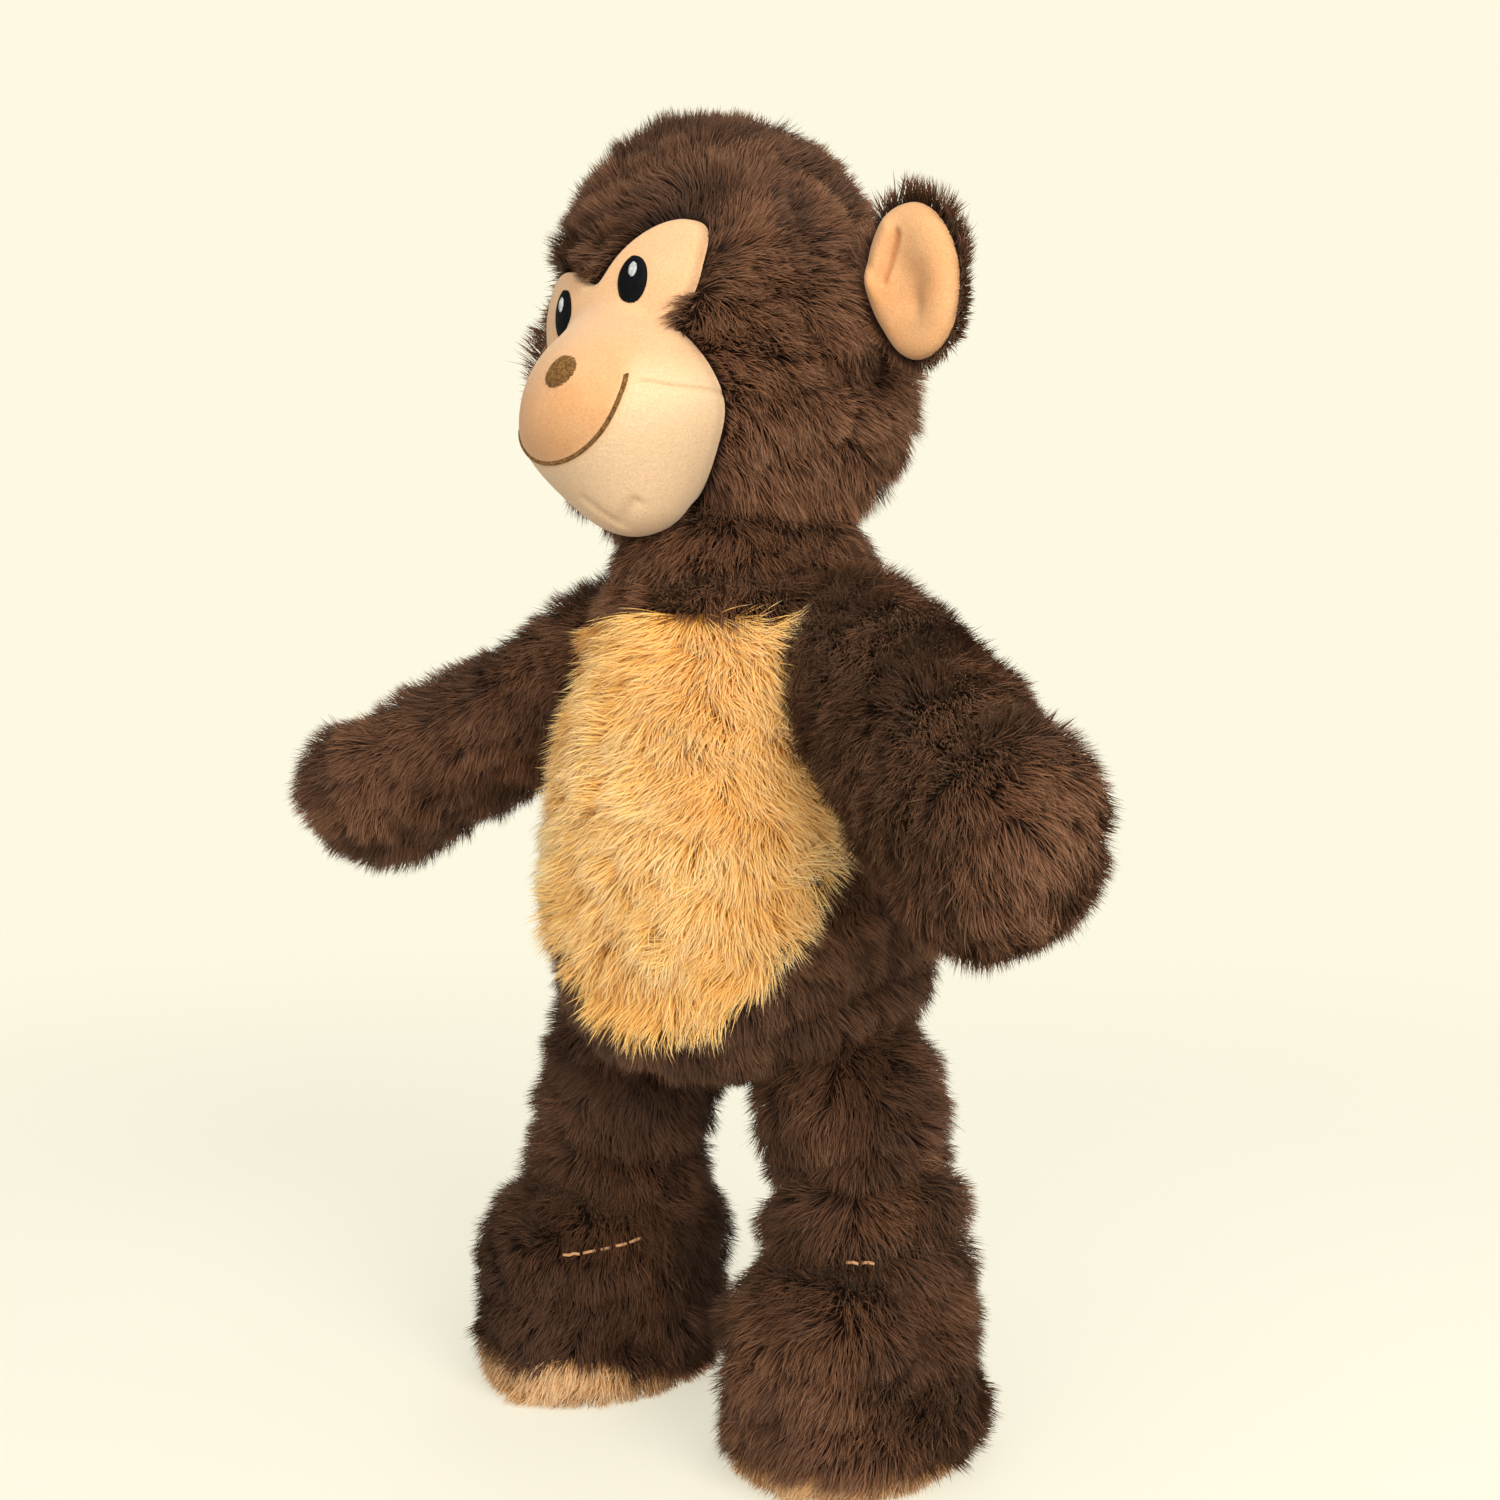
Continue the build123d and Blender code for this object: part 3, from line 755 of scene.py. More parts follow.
def side_seam(points):
    """The upright seam below each ear, in front of the nape."""
    height = points[..., 2]
    beside = smooth_step(60, 52, height) * smooth_step(14, 24, height) * (np.abs(points[..., 0]) > 20)
    return np.exp(-((points[..., 1] + 2) / 2.4) ** 2) * beside


def paint_pale(piece):
    """Makes the velour paler below and beside the smile, as a value on each point."""
    mesh = piece.data
    co = np.array([v.co for v in mesh.vertices]) / MM
    own = (co - head_place.origin) @ head_place.turn.T
    x, z = (own[:, 0] - MOUTH_MIDDLE) / MOUTH_HALF[0], (own[:, 2] - MOUTH_TOP) / MOUTH_HALF[1]
    in_smile = smooth_step(1.12, 0.9, np.hypot(x, np.minimum(z, 0))) * smooth_step(0.9, -0.2, z)
    pale = (0.45 + 0.55 * smooth_step(58, 44, own[:, 2])) * (1 - in_smile)
    mesh.attributes.new("pale", "FLOAT", "POINT").data.foreach_set("value", pale.astype(np.float32))


def head_lay(roots, from_edge):
    """The way that the head's pile lies at each root, and its length there."""
    x, z = tilted(roots[:, 0], roots[:, 2], -FACE_TILT)
    front = roots[:, 1] < 0
    away = unit(roots - FACE_HEART)
    down, back = np.array([0, 0, -1.0]), np.array([0, 1.0, 0])
    high = smooth_step(66, 105, roots[:, 2:])
    lay = away * (0.5 + high) + down * (1.2 - 1.2 * high) + back * (0.2 + 0.6 * high)
    hem = smooth_step(10, 3, from_edge)[:, None]
    lay = unit(lay) * (1 - hem) + away * hem

    lobe_x = np.where(x > -4, LOBE[0], -LOBE[0])
    off_x, off_z = x - lobe_x, z - LOBE[1]
    round_lobe = unit(np.stack([-off_z * np.sign(lobe_x), 0 * z, off_x * np.sign(lobe_x)], axis=-1))
    brow = smooth_step(18, 10, from_edge) * smooth_step(78, 84, z) * smooth_step(30, 22, np.abs(x)) * front
    lay = lay * (1 - brow[:, None]) + (round_lobe + 0.25 * away) * brow[:, None]
    temple = smooth_step(7, 2, np.abs(z - 66)) * smooth_step(9, 4, from_edge) * (np.abs(x) > 20) * front
    forwards = np.stack([-np.sign(x), -0.7 + 0 * x, -0.25 + 0 * x], axis=-1)
    lay = lay * (1 - temple[:, None]) + forwards * temple[:, None]
    ear_root = np.linalg.norm(np.abs(roots) * (1, 0, 1) + roots * (0, 1, 0) - EAR_ROOT, axis=1)
    over_ear = smooth_step(16, 7, ear_root)[:, None]
    lay = lay * (1 - over_ear) + np.stack([np.sign(x), -0.3 + 0 * x, -0.4 + 0 * x], axis=-1) * over_ear
    scale = (0.45 + 0.55 * smooth_step(1, 11, from_edge)) * (1 + 0.55 * over_ear[:, 0])
    scale = np.maximum(scale, 0.9 * np.maximum(brow, temple))
    scale = scale * (1 - PARTED * head_creases(roots, from_edge)) * (1 - 0.5 * side_seam(roots))
    return lay, scale * (1 + 0.25 * smooth_step(30, 16, roots[:, 2]))


def head():
    around = np.linspace(0, 2 * pi, COLUMNS, endpoint=False)
    edge = face_edge(around)
    inner = np.linspace(0, 1, FACE_RINGS + 1)[:, None] * edge
    outer = edge + np.linspace(0, 1, BACK_RINGS + 1)[1:, None] * (pi - edge)
    polar = np.vstack([inner, outer])
    grid, ways = head_surface(polar, np.broadcast_to(around, polar.shape), edge)
    for sign in (-1, 1):
        grid = groove(grid, ways, (sign * 25, SEAM_HEIGHT + 1), (sign * 39, SEAM_HEIGHT - 4), 1.5, 0.8)
    for start, end, depth in CHIN_DENTS:
        grid = groove(grid, ways, start, end, depth, CHIN_DENT_WIDTH)
    face = (polar <= edge + 1e-6)[..., None]
    grid = grid + ways * np.where(face, 0.35, 1.2) * smooth_noise(grid, 24, 61)[..., None]
    height = grid[..., 2]
    nape = smooth_step(5, 30, grid[..., 1]) * smooth_step(18, 34, height) * smooth_step(84, 64, height)
    dents = 2.6 * head_creases(grid, (polar - edge) * ARC) + 3.2 * side_seam(grid) - 3.0 * nape
    grid = grid - ways * dents[..., None]

    points, faces, tris, normals = closed_skin(grid)
    polar_flat, edge_flat = flat_values(polar, polar.shape), flat_values(edge, polar.shape)
    depth = smile_depth(points[:, 0], points[:, 2])

    def kind(corners):
        corners = list(corners)
        if (polar_flat[corners] > edge_flat[corners] + 1e-6).any():
            return "fur"
        return "chin" if depth[corners].mean() > 0 and points[corners, 2].mean() < MOUTH_TOP else "face"

    kinds = [kind(corners) for corners in faces]
    pieces = {"fur": ("head_skin", brown_cloth, "head_cover", "head_stuffing"),
              "face": ("face_velour", face_velour, "face_patch", "muzzle_stuffing", "muzzle_seam_thread"),
              "chin": ("chin_velour", face_velour, "chin_patch")}
    made = {}
    for label, (name, *rest) in pieces.items():
        chosen = [corners for corners, found in zip(faces, kinds) if found == label]
        made[label] = mesh_piece(name, head_place, points, chosen, *rest)
    for label in ("face", "chin"):
        paint_pale(made[label])

    tri_fur = (polar_flat[tris] > edge_flat[tris] + 1e-6).any(axis=1)
    roots, out = scatter(points, normals, tris[tri_fur], BROWN_COAT["per_cm2"], 63)
    around_root = np.mod(np.arctan2(roots[:, 2] - HEAD_MIDDLE[2], roots[:, 0]), 2 * pi)
    polar_root = np.arccos(np.clip(-unit(roots - HEAD_MIDDLE)[:, 1], -1, 1))
    from_edge = (polar_root - np.interp(around_root, around, edge, period=2 * pi)) * ARC
    lay, scale = head_lay(roots, from_edge)
    shade = 0.36 - 0.78 * smooth_step(76, 108, roots[:, 2])
    coat = dict(BROWN_COAT, tuft=(9, 9, 6), ripple=(14, 28), tone_and_painted_shade=shade)
    grow("head_fur", head_place, roots, out, lay, coat, brown_fur, 67, scale)
    return BVHTree.FromPolygons(points.tolist(), tris.tolist())


# ---- embroidery ---------------------------------------------------------------------------
THREAD = 0.42                                     # diameter of one thread
MOUTH_STITCHES = 150


def on_face(tree, x, z):
    """The point of the face at x and z as seen from the front, and its normal."""
    hit, normal, _, _ = tree.ray_cast(Vector((x, -200, z)), Vector((0, 1, 0)))
    normal = np.array(normal)
    return np.array(hit), normal if normal[1] < 0 else -normal


def thread_tubes(paths, thickness):
    """Round threads along lists of (point, normal), as points and faces."""
    points, faces = [], []
    sides = 6
    for path in paths:
        base = len(points)
        spots = np.array([spot for spot, _ in path])
        ups = np.array([up for _, up in path])
        for index, (spot, up) in enumerate(zip(spots, ups)):
            ahead = spots[min(index + 1, len(spots) - 1)] - spots[max(index - 1, 0)]
            across = np.cross(unit(ahead), up)
            for corner in range(sides):
                angle = 2 * pi * corner / sides
                points.append(spot + (across * cos(angle) + up * sin(angle)) * thickness / 2)
        for index in range(len(path) - 1):
            for corner in range(sides):
                a = base + index * sides + corner
                b = base + index * sides + (corner + 1) % sides
                faces.append((a, b, b + sides, a + sides))
        faces.append(tuple(base + corner for corner in reversed(range(sides))))
        last = base + (len(path) - 1) * sides
        faces.append(tuple(last + corner for corner in range(sides)))
    return np.array(points), faces


def stitched_oval(tree, centre, half, rise, pitch, slant=0.0, steps=9, wobble=0.0, seed=1):
    """Threads laid side by side across an oval, bowed up in the middle."""
    rng = np.random.default_rng(seed)
    middle, out = on_face(tree, *centre)
    right = unit(np.array([1.0, 0, 0]) - out * out[0])
    upwards = np.cross(right, out)
    upwards = upwards * np.sign(upwards[2])
    count = int(2 * half[1] / pitch)
    paths = []
    for number in range(count):
        level = (number + 0.5) / count * 2 - 1
        reach = half[0] * np.sqrt(1 - level ** 2) + wobble * rng.normal()
        if reach < 0.5:
            continue
        path = []
        for share in np.linspace(-1, 1, steps):
            flat = middle + right * share * reach + upwards * (level * half[1] + slant * share * reach)
            spot, up, _, _ = tree.find_nearest(Vector(flat))
            spot, up = np.array(spot), np.array(up)
            up = up * np.sign(up @ out)
            lift = rise * np.sqrt(max(0.0, 1 - share ** 2)) * np.sqrt(1 - 0.7 * level ** 2)
            path.append((spot + up * lift, up))
        paths.append(path)
    return paths


def embroidery(tree):
    for side, sign in (("left", 1), ("right", -1)):
        centre = tilted(sign * EYE[0], EYE[1], FACE_TILT)
        points, faces = thread_tubes(stitched_oval(tree, centre, EYE_HALF, 0.9, 0.36, 0.04), 0.55)
        mesh_piece(f"eye_{side}", head_place, points, faces, black_thread, f"eye_{side}_embroidery")
        centre = (centre[0] + 0.5, centre[1] + GLINT_RISE)
        points, faces = thread_tubes(stitched_oval(tree, centre, GLINT_HALF, 1.35, 0.34, 0.04), 0.5)
        mesh_piece(f"eye_{side}_light", head_place, points, faces, light_thread, f"eye_{side}_glint")
    paths = stitched_oval(tree, NOSE, NOSE_HALF, 0.8, 0.5, 0.1, wobble=0.2)
    points, faces = thread_tubes(paths, 0.5)
    mesh_piece("nose", head_place, points, faces, brown_thread, "nose_embroidery")
    paths = []
    for number in range(MOUTH_STITCHES):
        angle = pi + pi * (number + 0.5) / MOUTH_STITCHES
        x, z = MOUTH_MIDDLE + MOUTH_HALF[0] * cos(angle), MOUTH_TOP + MOUTH_HALF[1] * sin(angle)
        across = unit(np.array([cos(angle) / MOUTH_HALF[0], sin(angle) / MOUTH_HALF[1]]))
        along = np.array([-across[1], across[0]])
        slanted = unit(across + 0.5 * along)
        path = []
        for share in np.linspace(-1, 1, 5):
            spot, up = on_face(tree, x + slanted[0] * share * 0.6, z + slanted[1] * share * 0.6)
            path.append((spot + up * 0.45 * np.sqrt(1 - share ** 2), up))
        paths.append(path)
    points, faces = thread_tubes(paths, THREAD)
    mesh_piece("mouth", head_place, points, faces, brown_thread, "mouth_embroidery")


# ---- ears ---------------------------------------------------------------------------------
EAR_CENTRE = np.array([73.8, 2, 69.5])            # in the head's frame
EAR_HALF = (15.3, 22.7)
EAR_TURN = {"left": 0, "right": 14}               # degrees that its rim lies further back
EAR_CREASE = ((-0.10, 0.59), (-0.54, 0.14))       # its ends, as shares of the ear's half width and height


def ear(side, sign):
    place = Place(f"ear_{side}", head_place.origin, head_place.turn[0], head_place.turn[2])
    angle = np.linspace(0, 2 * pi, 120, endpoint=False)
    shares = np.concatenate([[0], np.linspace(0.02, 1, 44)])[:, None]
    outline = 1 - 0.06 * np.exp(-((angle - 3.75) / 0.35) ** 2) + 0.03 * np.sin(angle)

    def half(front):
        u, v = shares * np.cos(angle), shares * np.sin(angle)
        x, z = EAR_HALF[0] * u * outline, EAR_HALF[1] * v * outline
        if front:
            rise = 6.0 * np.sqrt(np.clip(1 - shares ** 3.5, 0, 1))
            rise = rise - 3.6 * np.exp(-((u + 0.05) / 0.5) ** 2 - ((v + 0.02) / 0.58) ** 2)
            rise = rise - 1.6 * np.exp(-((u - 0.12) / 0.16) ** 2 - ((v + 0.28) / 0.16) ** 2)
            start, run = np.array(EAR_CREASE[0]), np.array(EAR_CREASE[1]) - EAR_CREASE[0]
            share = np.clip(((u - start[0]) * run[0] + (v - start[1]) * run[1]) / (run @ run), 0, 1)
            off_u, off_v = u - start[0] - share * run[0], v - start[1] - share * run[1]
            inner = np.exp(-((off_u + 0.24) / 0.2) ** 2 - (off_v / 0.25) ** 2)
            rise = rise + 3.2 * inner - 3.6 * np.exp(-(off_u ** 2 + off_v ** 2) / 0.07 ** 2)
            y = -rise + 0 * x
        else:
            y = 5.2 * np.sqrt(np.clip(1 - shares ** 2, 0, 1)) + 0 * x
        turn, x = radians(EAR_TURN[side]), x + EAR_HALF[0]
        x, y = x * cos(turn) - y * sin(turn) - EAR_HALF[0], x * sin(turn) + y * cos(turn)
        grid = np.stack(np.broadcast_arrays(x * sign, y, z), axis=-1)
        return grid + EAR_CENTRE * (sign, 1, 1)

    made = []
    for front in (True, False):
        grid = half(front)
        grid[..., 1] += 0.3 * smooth_noise(grid, 7, 71)
        points = grid_points(grid, True, False)
        faces = grid_faces(len(grid), len(angle), True, False)
        if front == (sign > 0):
            faces = [face[::-1] for face in faces]
        made.append((points, faces))
    (front_points, front_faces), (back_points, back_faces) = made
    mesh_piece(f"ear_{side}_velour", place, front_points, front_faces, face_velour, f"ear_{side}_front")
    mesh_piece(f"ear_{side}_skin", place, back_points, back_faces, brown_cloth, f"ear_{side}_back")
    tris = triangles(back_faces)
    normals = point_normals(back_points, tris)
    if dot(normals, np.array([0, 1, 0])).mean() < 0:
        normals = -normals
    roots, out = scatter(back_points, normals, tris, BROWN_COAT["per_cm2"] * 1.5, 73)
    outward = unit((roots - EAR_CENTRE * (sign, 1, 1)) * (1, 0, 1))
    rim = np.linalg.norm((roots - EAR_CENTRE * (sign, 1, 1))[:, [0, 2]] / EAR_HALF, axis=1)
    lay = outward + np.array([0.2 * sign, 0.0, 0.1])
    coat = dict(BROWN_COAT, lean=62, tuft=(6, 6, 6), length=9.5 if sign > 0 else 12, ripple=(13, 4),
                tuft_turn=24, swirl=14, patch=(12, 6), droop=0.0, tone_and_painted_shade=0.16)
    upper = 0.6 + 0.4 * smooth_step(-0.6, 0.6, outward[:, 2] - 0.5 * sign * outward[:, 0])
    grow(f"ear_{side}_fur", place, roots, out, lay, coat, brown_fur, 79 + (sign > 0),
         upper * (0.75 + 0.3 * smooth_step(0.5, 0.9, rim)))


# ---- arms and legs ------------------------------------------------------------------------
ARM_HEADING = (0.881, -0.473)
ARM_DROP = {"left": 27, "right": 28}              # degrees below level
ARM_LENGTH = {"left": 96, "right": 94}
ARM_FLATNESS = {"left": (0.94, 1.2), "right": (1.14, 0.72)}     # of its level and its upright width
ARM_SIZES = {"left": [(0, 23), (0.35, 25), (0.7, 25.5), (1, 24.5)],
             "right": [(0, 23), (0.35, 22), (0.7, 22.5), (1, 24.5)]}
ARM_FUR_FROM = -16                                # how far along an arm its pile starts
LEG_SIZES = [(0, 25.5), (0.35, 25), (0.7, 27.5), (1, 27)]
LEG_SHIFT = {"left": (5, 3), "right": (10.5, -1)} # how far out each leg sits, at its top and ankle
LEG_BOW = {"left": 1, "right": 2}                 # and bows further outwards
LEG_FUR_FROM = -34
HAUNCH = {"left": 1.15, "right": 1.6}             # how tall its round top is, for its width


def limb_outline(length, sizes, count):
    """Root pole to tip pole of a stuffed tube with round ends, as (radius, distance from the root)."""
    sizes = [(share, radius - PRESSED) for share, radius in sizes]
    root, tip = sizes[0][1], sizes[-1][1]
    turns = [radians(angle) for angle in (90, 60, 30)]
    start = [(root * cos(a), -root * sin(a)) for a in turns]
    end = [(tip * cos(a), length + tip * sin(a)) for a in reversed(turns)]
    start[0], end[-1] = (0, -root), (0, length + tip)
    return through(start + [(radius, share * length) for share, radius in sizes] + end, count)


def limb(name, place, length, sizes, shape, crease, replaced, coat, seed, lay_way, fur_from):
    rows, columns = 120, 160
    grid = rings(limb_outline(length, sizes, rows), columns, shape)
    points, faces, tris, normals = closed_skin(grid)
    skin = mesh_piece(f"{name}_skin", place, points, faces, brown_cloth, *replaced)
    covered = points[tris][:, :, 2].mean(axis=1) > fur_from
    roots, out = scatter(points, normals, tris[covered], coat["per_cm2"], seed)
    grow(f"{name}_fur", place, roots, out, lay_way(roots), coat, brown_fur, seed + 1,
         1 - PARTED * crease(roots), floor=LOWEST)


def arm(side, sign):
    run, length = cos(radians(ARM_DROP[side])), ARM_LENGTH[side]
    towards = (sign * ARM_HEADING[0] * run, ARM_HEADING[1] * run, -sin(radians(ARM_DROP[side])))
    level = (-ARM_HEADING[1] * sign, ARM_HEADING[0] * sign, 0)
    place = Place(f"arm_{side}", pivot(f"shoulder_{side}_swing"), level, towards)
    number = int(sign > 0)

    def crease(points):
        return 0.5 * creases(points, 26, 83 + number) * smooth_step(10, 24, points[..., 2])

    def shape(grid):
        share = smooth_step(0, 0.7 * length, grid[..., 2:])
        wide, tall = ARM_FLATNESS[side]
        widths = [1 + (wide - 1) * share, 1 + (tall - 1) * share, 0 * share + 1]
        grid = grid * np.concatenate(widths, axis=-1)
        return swollen(grid, 1.6 * smooth_noise(grid, 20, 81 + number) - 1.8 * crease(grid))

    def lay_way(roots):
        return np.tile((0.0, 0.0, 1.0), (len(roots), 1)) + 0.25 * place.local((0, 0, -1))

    replaced = [f"arm_{side}_cover", f"arm_{side}_stuffing", f"shoulder_{side}_seam_thread"]
    # Painted light and shade: the near (left) arm's pile is paler and the far (right) arm's darker.
    coat = dict(BROWN_COAT, patch=(24, 26), tone_and_painted_shade=0.12 if sign > 0 else -0.12)
    limb(f"arm_{side}", place, length, ARM_SIZES[side], shape, crease, replaced, coat, 85 + 4 * number,
         lay_way, ARM_FUR_FROM)


def leg(side, sign):
    hip, ankle = pivot(f"hip_{side}_swing"), pivot(f"ankle_{side}_flex")
    run = ankle - hip
    place = Place(f"leg_{side}", hip, (1, 0, 0), run)
    length = float(np.linalg.norm(run))
    number = int(sign > 0)

    def crease(points):
        free = smooth_step(4, 14, points[..., 2]) * smooth_step(length + 8, length - 4, points[..., 2])
        return creases(points, 20, 95 + number) * free

    def shape(grid):
        lump = 2.2 * smooth_noise(grid, 14, 97 + number) * smooth_step(2, 14, grid[..., 2])
        grid = swollen(grid, lump - 3.4 * crease(grid))
        bow = LEG_BOW[side] * np.sin(pi * np.clip(grid[..., 2] / length, 0, 1))
        top, foot_end = LEG_SHIFT[side]
        grid[..., 0] += sign * (top + (foot_end - top) * smooth_step(10, length, grid[..., 2]) + bow)
        grid[..., 2] *= np.where(grid[..., 2] < 0, HAUNCH[side], 1)
        return grid

    def lay_way(roots):
        return np.tile((0.0, 0.0, 1.0), (len(roots), 1))

    replaced = [f"leg_{side}_cover", f"leg_{side}_stuffing", f"hip_{side}_seam_thread"]
    # Painted shade: both legs' pile is darker, as under the belly, and the far (right) leg's darkest.
    coat = dict(BROWN_COAT, tuft=(9, 9, 7), ripple=(13, 28), tuft_lean=20, tuft_turn=40,
                tone_and_painted_shade=-0.3 if sign > 0 else -0.42)
    limb(f"leg_{side}", place, length, LEG_SIZES, shape, crease, replaced, coat, 99 + 4 * number,
         lay_way, LEG_FUR_FROM)


# ---- feet ---------------------------------------------------------------------------------
FOOT_HALF = (34, 44)
FOOT_SHIFT = -2                                   # along x, from the middle of the sole
FOOT_TURN = {"left": 12, "right": 5}              # degrees that the toes turn to the left
FOOT_SIDE = [(0, LOWEST), (0.4, LOWEST), (0.76, 0.5), (0.88, 3), (0.94, 8), (0.99, 20), (1.0, 36),
             (0.93, 49), (0.76, 57), (0.45, 61), (0, 62)]
SOLE_HEIGHT = 6
HEEL_RISE = 6                                     # how far the round heel lifts off the ground
SEAM_RADIUS = {"left": 28.5, "right": 45}
INSTEP_HEIGHT = {"left": (64, 64), "right": (50, 58)}
SEAM_ARC = {"left": (14, 32), "right": (15, 56)}  # degrees round the ankle, from straight ahead
STITCHES_A_DEGREE = 0.12
TAN_RISE = {"left": 6, "right": 8}                # how much higher the tan pile reaches at the toes


def tan_height(roots, rise):
    """How high the tan pile reaches round the foot."""
    wander = 2.5 * smooth_noise(roots, 9, 141)
    return SOLE_HEIGHT - 7 + rise + rise * smooth_step(0, -36, roots[:, 1]) + wander


def foot(side, sign):
    low, high = (np.array(corner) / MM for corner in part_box(f"foot_{side}_sole"))
    centre = (low + high) / 2
    turn = radians(FOOT_TURN[side])
    place = Place(f"foot_{side}", (centre[0] + FOOT_SHIFT, centre[1], 0), (cos(turn), sin(turn), 0))

    def crease(points):
        return creases(points, 22, 113 + (sign > 0)) * smooth_step(12, 20, points[..., 2])

    def shape(grid):
        grid = grid * (FOOT_HALF[0] - PRESSED, FOOT_HALF[1] - PRESSED, 1)
        lump = 1.8 * smooth_noise(grid, 18, 111 + (sign > 0)) - 2.2 * crease(grid)
        grid = swollen(grid, lump * smooth_step(4, 14, grid[..., 2]))
        grid[..., 2] += HEEL_RISE * smooth_step(16, 42, grid[..., 1]) * smooth_step(30, 0, grid[..., 2])
        return grid

    outline = through([(share * 100, z) for share, z in FOOT_SIDE], 110) / (100, 1)
    outline[:, 1] = np.maximum(outline[:, 1], LOWEST)
    grid = rings(outline, 170, shape)
    points, faces, tris, normals = closed_skin(grid)
    heights = np.array([points[list(face), 2].mean() for face in faces])
    upper_faces = [face for face, z in zip(faces, heights) if z >= SOLE_HEIGHT]
    sole_faces = [face for face, z in zip(faces, heights) if z < SOLE_HEIGHT]
    cover = mesh_piece(f"foot_{side}_skin", place, points, upper_faces, brown_cloth,
                       f"foot_{side}_cover", f"foot_{side}_stuffing")
    mesh_piece(f"foot_{side}_sole_skin", place, points, sole_faces, sole_cloth, f"foot_{side}_sole")

    roots, out = scatter(points, normals, tris, BROWN_COAT["per_cm2"], 121 + (sign > 0))
    upper = roots[:, 2] > tan_height(roots, TAN_RISE[side])
    outward = unit((roots - (0, 12, 0)) * (1, 1, 0))
    low_down = smooth_step(22, 8, roots[:, 2:])
    lay = outward * smooth_step(52, 30, roots[:, 2:]) + np.array([0, -0.5, -0.9]) * (1 - 0.75 * low_down)
    # Painted shade: the far (right) foot's pile is much darker than the near one's.
    coat = dict(BROWN_COAT, tuft=(8, 8, 8), ripple=(15, 14), length=11.5, tone_and_painted_shade=-0.04 if sign > 0 else -0.42)
    ankle = place.local(pivot(f"ankle_{side}_flex") - place.origin)
    from_ankle = np.hypot(roots[:, 0] - ankle[0], roots[:, 1] - ankle[1])
    near_seam = smooth_step(7, 1, np.abs(from_ankle - SEAM_RADIUS[side])) * (roots[:, 2] > 20)
    scale = (1 - 0.4 * near_seam) * (1 - PARTED * crease(roots))
    grow(f"foot_{side}_fur", place, roots[upper], out[upper], lay[upper], coat, brown_fur,
         125 + (sign > 0), scale[upper], floor=LOWEST)
    rim = ~upper & (roots[:, 2] > 1.0)
    coat = dict(BELLY_COAT, length=9, lean=40, ripple=(16, 6), swirl=24, tuft=(6, 6, 6), tuft_turn=22,
                segments=3)
    lay = outward + np.array([0, 0, -0.5])
    grow(f"foot_{side}_sole_fur", place, roots[rim], out[rim], lay[rim], coat, sole_fur,
         131 + (sign > 0), floor=LOWEST)

    tree = BVHTree.FromPolygons(points.tolist(), tris.tolist())
    start, end = SEAM_ARC[side]
    stitches = max(2, round(abs(end - start) * STITCHES_A_DEGREE))
    paths = []
    for number in range(stitches):
        path = []
        for share in np.linspace(0.12, 0.88, 5):
            along = (number + share) / stitches
            turn, reach = radians(start + (end - start) * along), SEAM_RADIUS[side]
            height = np.interp(along, (0, 1), INSTEP_HEIGHT[side])
            spot = Vector((ankle[0] + reach * sin(turn), ankle[1] - reach * cos(turn), height))
            hit, normal, _, _ = tree.find_nearest(spot)
            lift = 5.0 + 0.7 * sin(number * 2.3) + 0.5 * sin(pi * share)
            path.append((np.array(hit) + np.array(normal) * lift, np.array(normal)))
        paths.append(path)
    seam_points, seam_faces = thread_tubes(paths, 1.0)
    mesh_piece(f"instep_{side}_seam", place, seam_points, seam_faces, tan_thread,
               f"instep_{side}_seam_thread")


# ---- stage, light and camera --------------------------------------------------------------
CREAM = "fef9e2"
FLOOR_SIDES = 64
FLOOR_REACH = 1.0                                 # metres, where the floor has faded into the backdrop
FLOOR_GLOW = 0.62
CAMERA_AZIMUTH = 40
CAMERA_AWAY = 600
CAMERA_HEIGHT = 246
CAMERA_PITCH = 3.85
CAMERA_LENS = 46.4
VIEW_RIGHT = 1.6                                  # the view's middle is this far right of the body's axis


def area_light(name, azimuth, elevation, away, size, power, tone):
    turn, rise = radians(azimuth), radians(elevation)
    back = Vector((sin(turn) * cos(rise), -cos(turn) * cos(rise), sin(rise)))
    data = bpy.data.lights.new(name, "AREA")
    data.shape = "DISK"
    data.size, data.energy, data.color = size, power, colour(tone)[:3]
    light = bpy.data.objects.new(name, data)
    light.location = Vector((0, 0, 0.2)) + back * away
    light.rotation_euler = back.to_track_quat("Z", "Y").to_euler()
    bpy.context.scene.collection.objects.link(light)


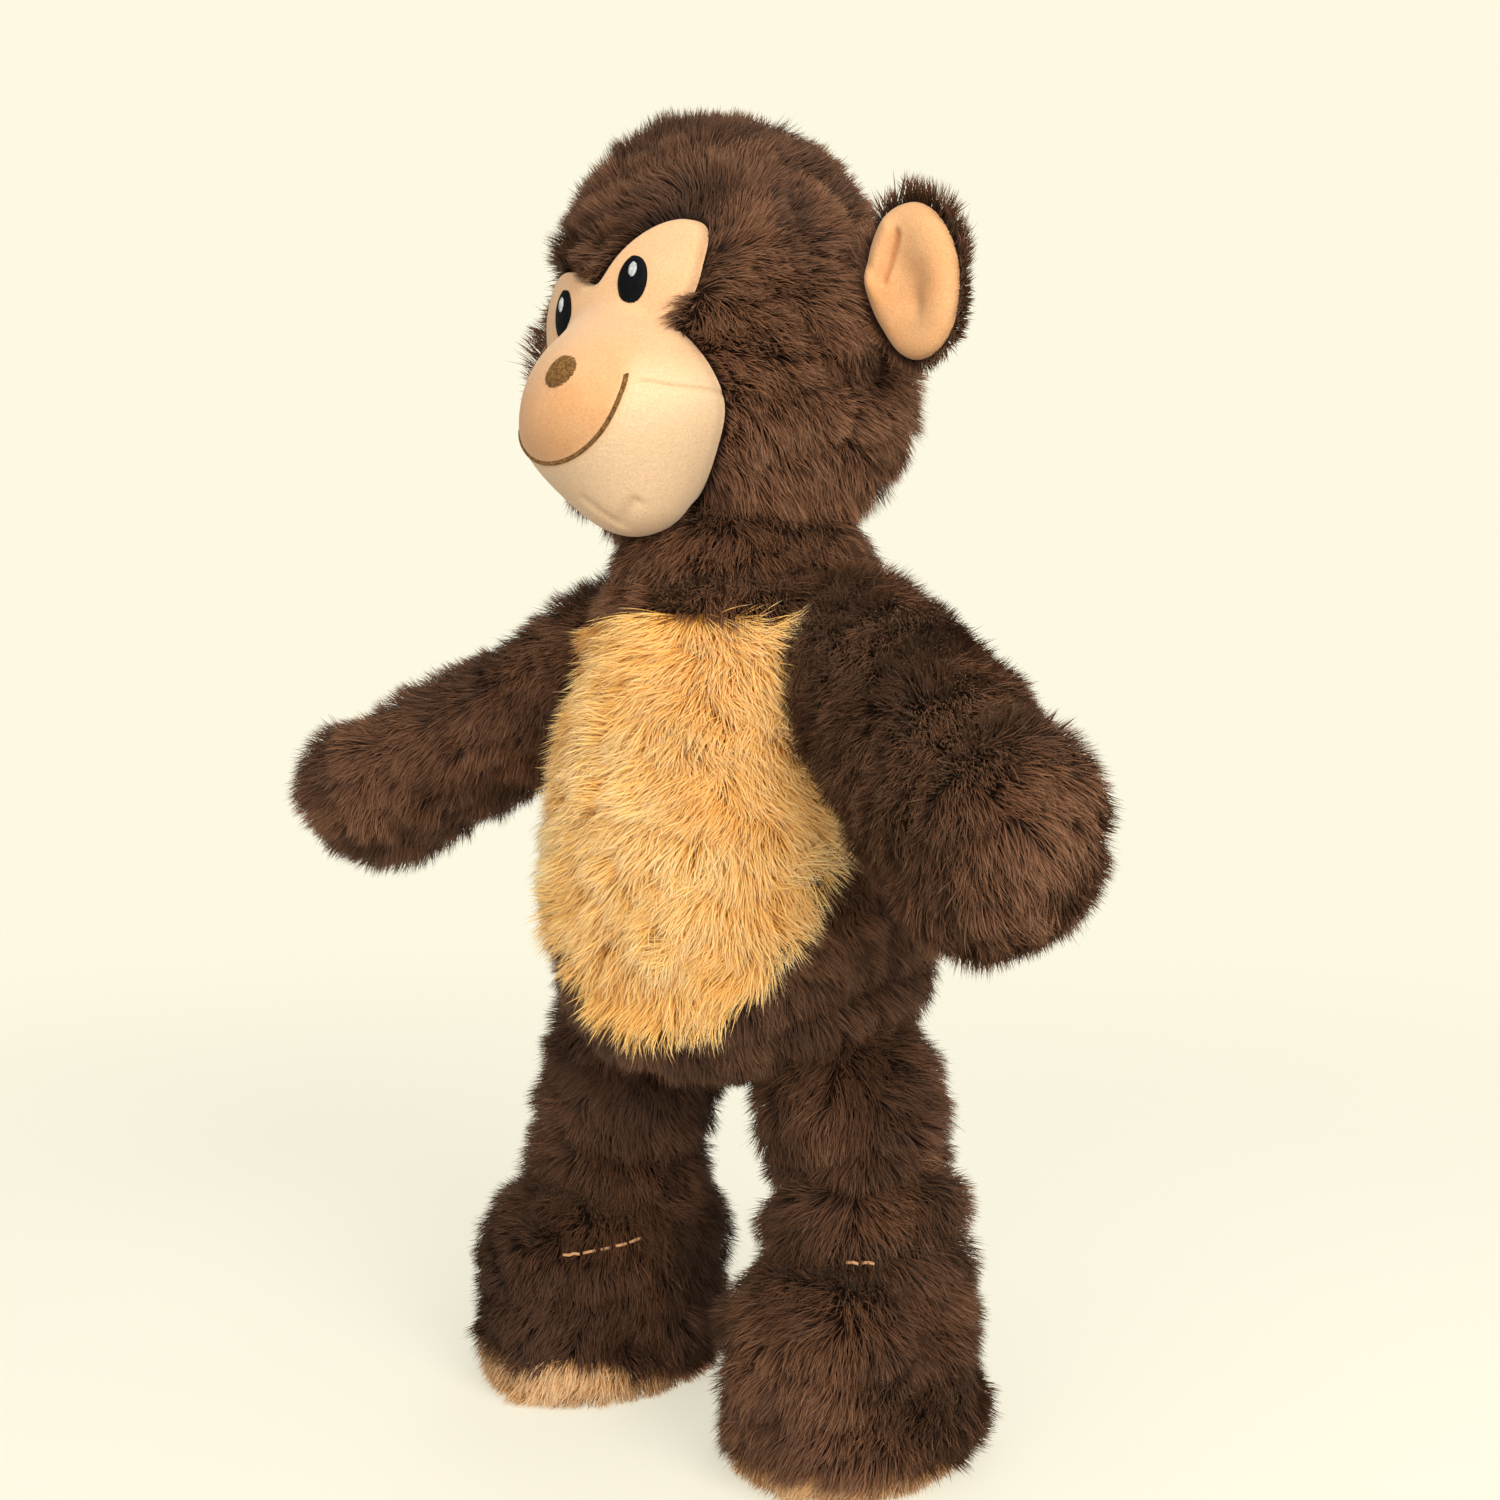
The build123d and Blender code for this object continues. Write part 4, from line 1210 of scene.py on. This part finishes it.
def stage_and_light():
    scene = bpy.context.scene
    scene.view_settings.view_transform = "Standard"
    world = bpy.data.worlds.new("studio")
    scene.world = world
    world.use_nodes = True
    nodes, links = world.node_tree.nodes, world.node_tree.links
    shown, lit = nodes["Background"], nodes.new("ShaderNodeBackground")
    shown.inputs["Color"].default_value = colour(CREAM)
    lit.inputs["Color"].default_value = colour("fffaf0")
    lit.inputs["Strength"].default_value = 0.42
    path, pick = nodes.new("ShaderNodeLightPath"), nodes.new("ShaderNodeMixShader")
    links.new(path.outputs["Is Camera Ray"], pick.inputs["Fac"])
    links.new(lit.outputs[0], pick.inputs[1])
    links.new(shown.outputs[0], pick.inputs[2])
    links.new(pick.outputs[0], nodes["World Output"].inputs["Surface"])

    mesh = bpy.data.meshes.new("floor")
    turns = [2 * pi * corner / FLOOR_SIDES for corner in range(FLOOR_SIDES)]
    rim = [(FLOOR_REACH * cos(turn), FLOOR_REACH * sin(turn), 0) for turn in turns]
    mesh.from_pydata(rim, [], [tuple(range(FLOOR_SIDES))])
    floor = bpy.data.objects.new("floor", mesh)
    scene.collection.objects.link(floor)
    material, nodes, links, shader = new_material("pale_floor", 0.9, specular=0.0)
    tone = noise_colour(nodes, links, 400, [(0.3, "a9aaa2"), (0.7, "adada6")])
    links.new(tone, shader.inputs["Base Color"])
    shader.inputs["Emission Color"].default_value = colour(CREAM)
    shader.inputs["Emission Strength"].default_value = FLOOR_GLOW
    place, away = nodes.new("ShaderNodeTexCoord"), nodes.new("ShaderNodeVectorMath")
    away.operation = "LENGTH"
    links.new(place.outputs["Object"], away.inputs[0])
    fade = nodes.new("ShaderNodeMapRange")
    fade.interpolation_type = "SMOOTHSTEP"
    fade.inputs["From Min"].default_value, fade.inputs["From Max"].default_value = 0.3, FLOOR_REACH * 0.98
    fade.inputs["To Min"].default_value, fade.inputs["To Max"].default_value = 1.0, 0.0
    links.new(away.outputs["Value"], fade.inputs["Value"])
    links.new(fade.outputs["Result"], shader.inputs["Alpha"])
    mesh.materials.append(material)
    floor.visible_diffuse = False

    area_light("key", 66, 24, 1.3, 0.9, 15, "fff6ea")
    area_light("front", 14, 10, 1.5, 1.2, 9, "fff8ee")
    area_light("top", 40, 80, 1.4, 1.2, 1.5, "ffffff")
    area_light("back", 215, 35, 1.6, 1.0, 4, "ffffff")


def camera():
    turn, dip = radians(CAMERA_AZIMUTH), radians(CAMERA_PITCH)
    towards = Vector((sin(turn), -cos(turn), 0))
    right = Vector((cos(turn), sin(turn), 0))
    data = bpy.data.cameras.new("camera")
    data.sensor_width, data.lens = 36, CAMERA_LENS
    data.clip_start, data.clip_end = 0.01, 30
    obj = bpy.data.objects.new("camera", data)
    axis = Vector((0, body_y, CAMERA_HEIGHT)) + right * VIEW_RIGHT
    obj.location = (axis - right * VIEW_RIGHT + towards * CAMERA_AWAY) * MM
    look = (axis * MM - obj.location).normalized()
    look = Vector((look.x * cos(dip), look.y * cos(dip), -sin(dip)))
    obj.rotation_euler = look.to_track_quat("-Z", "Y").to_euler()
    bpy.context.scene.collection.objects.link(obj)
    bpy.context.scene.camera = obj


camera()
stage_and_light()
torso()
neck()
embroidery(head())
for side, sign in (("left", 1), ("right", -1)):
    ear(side, sign)
    arm(side, sign)
    leg(side, sign)
    foot(side, sign)
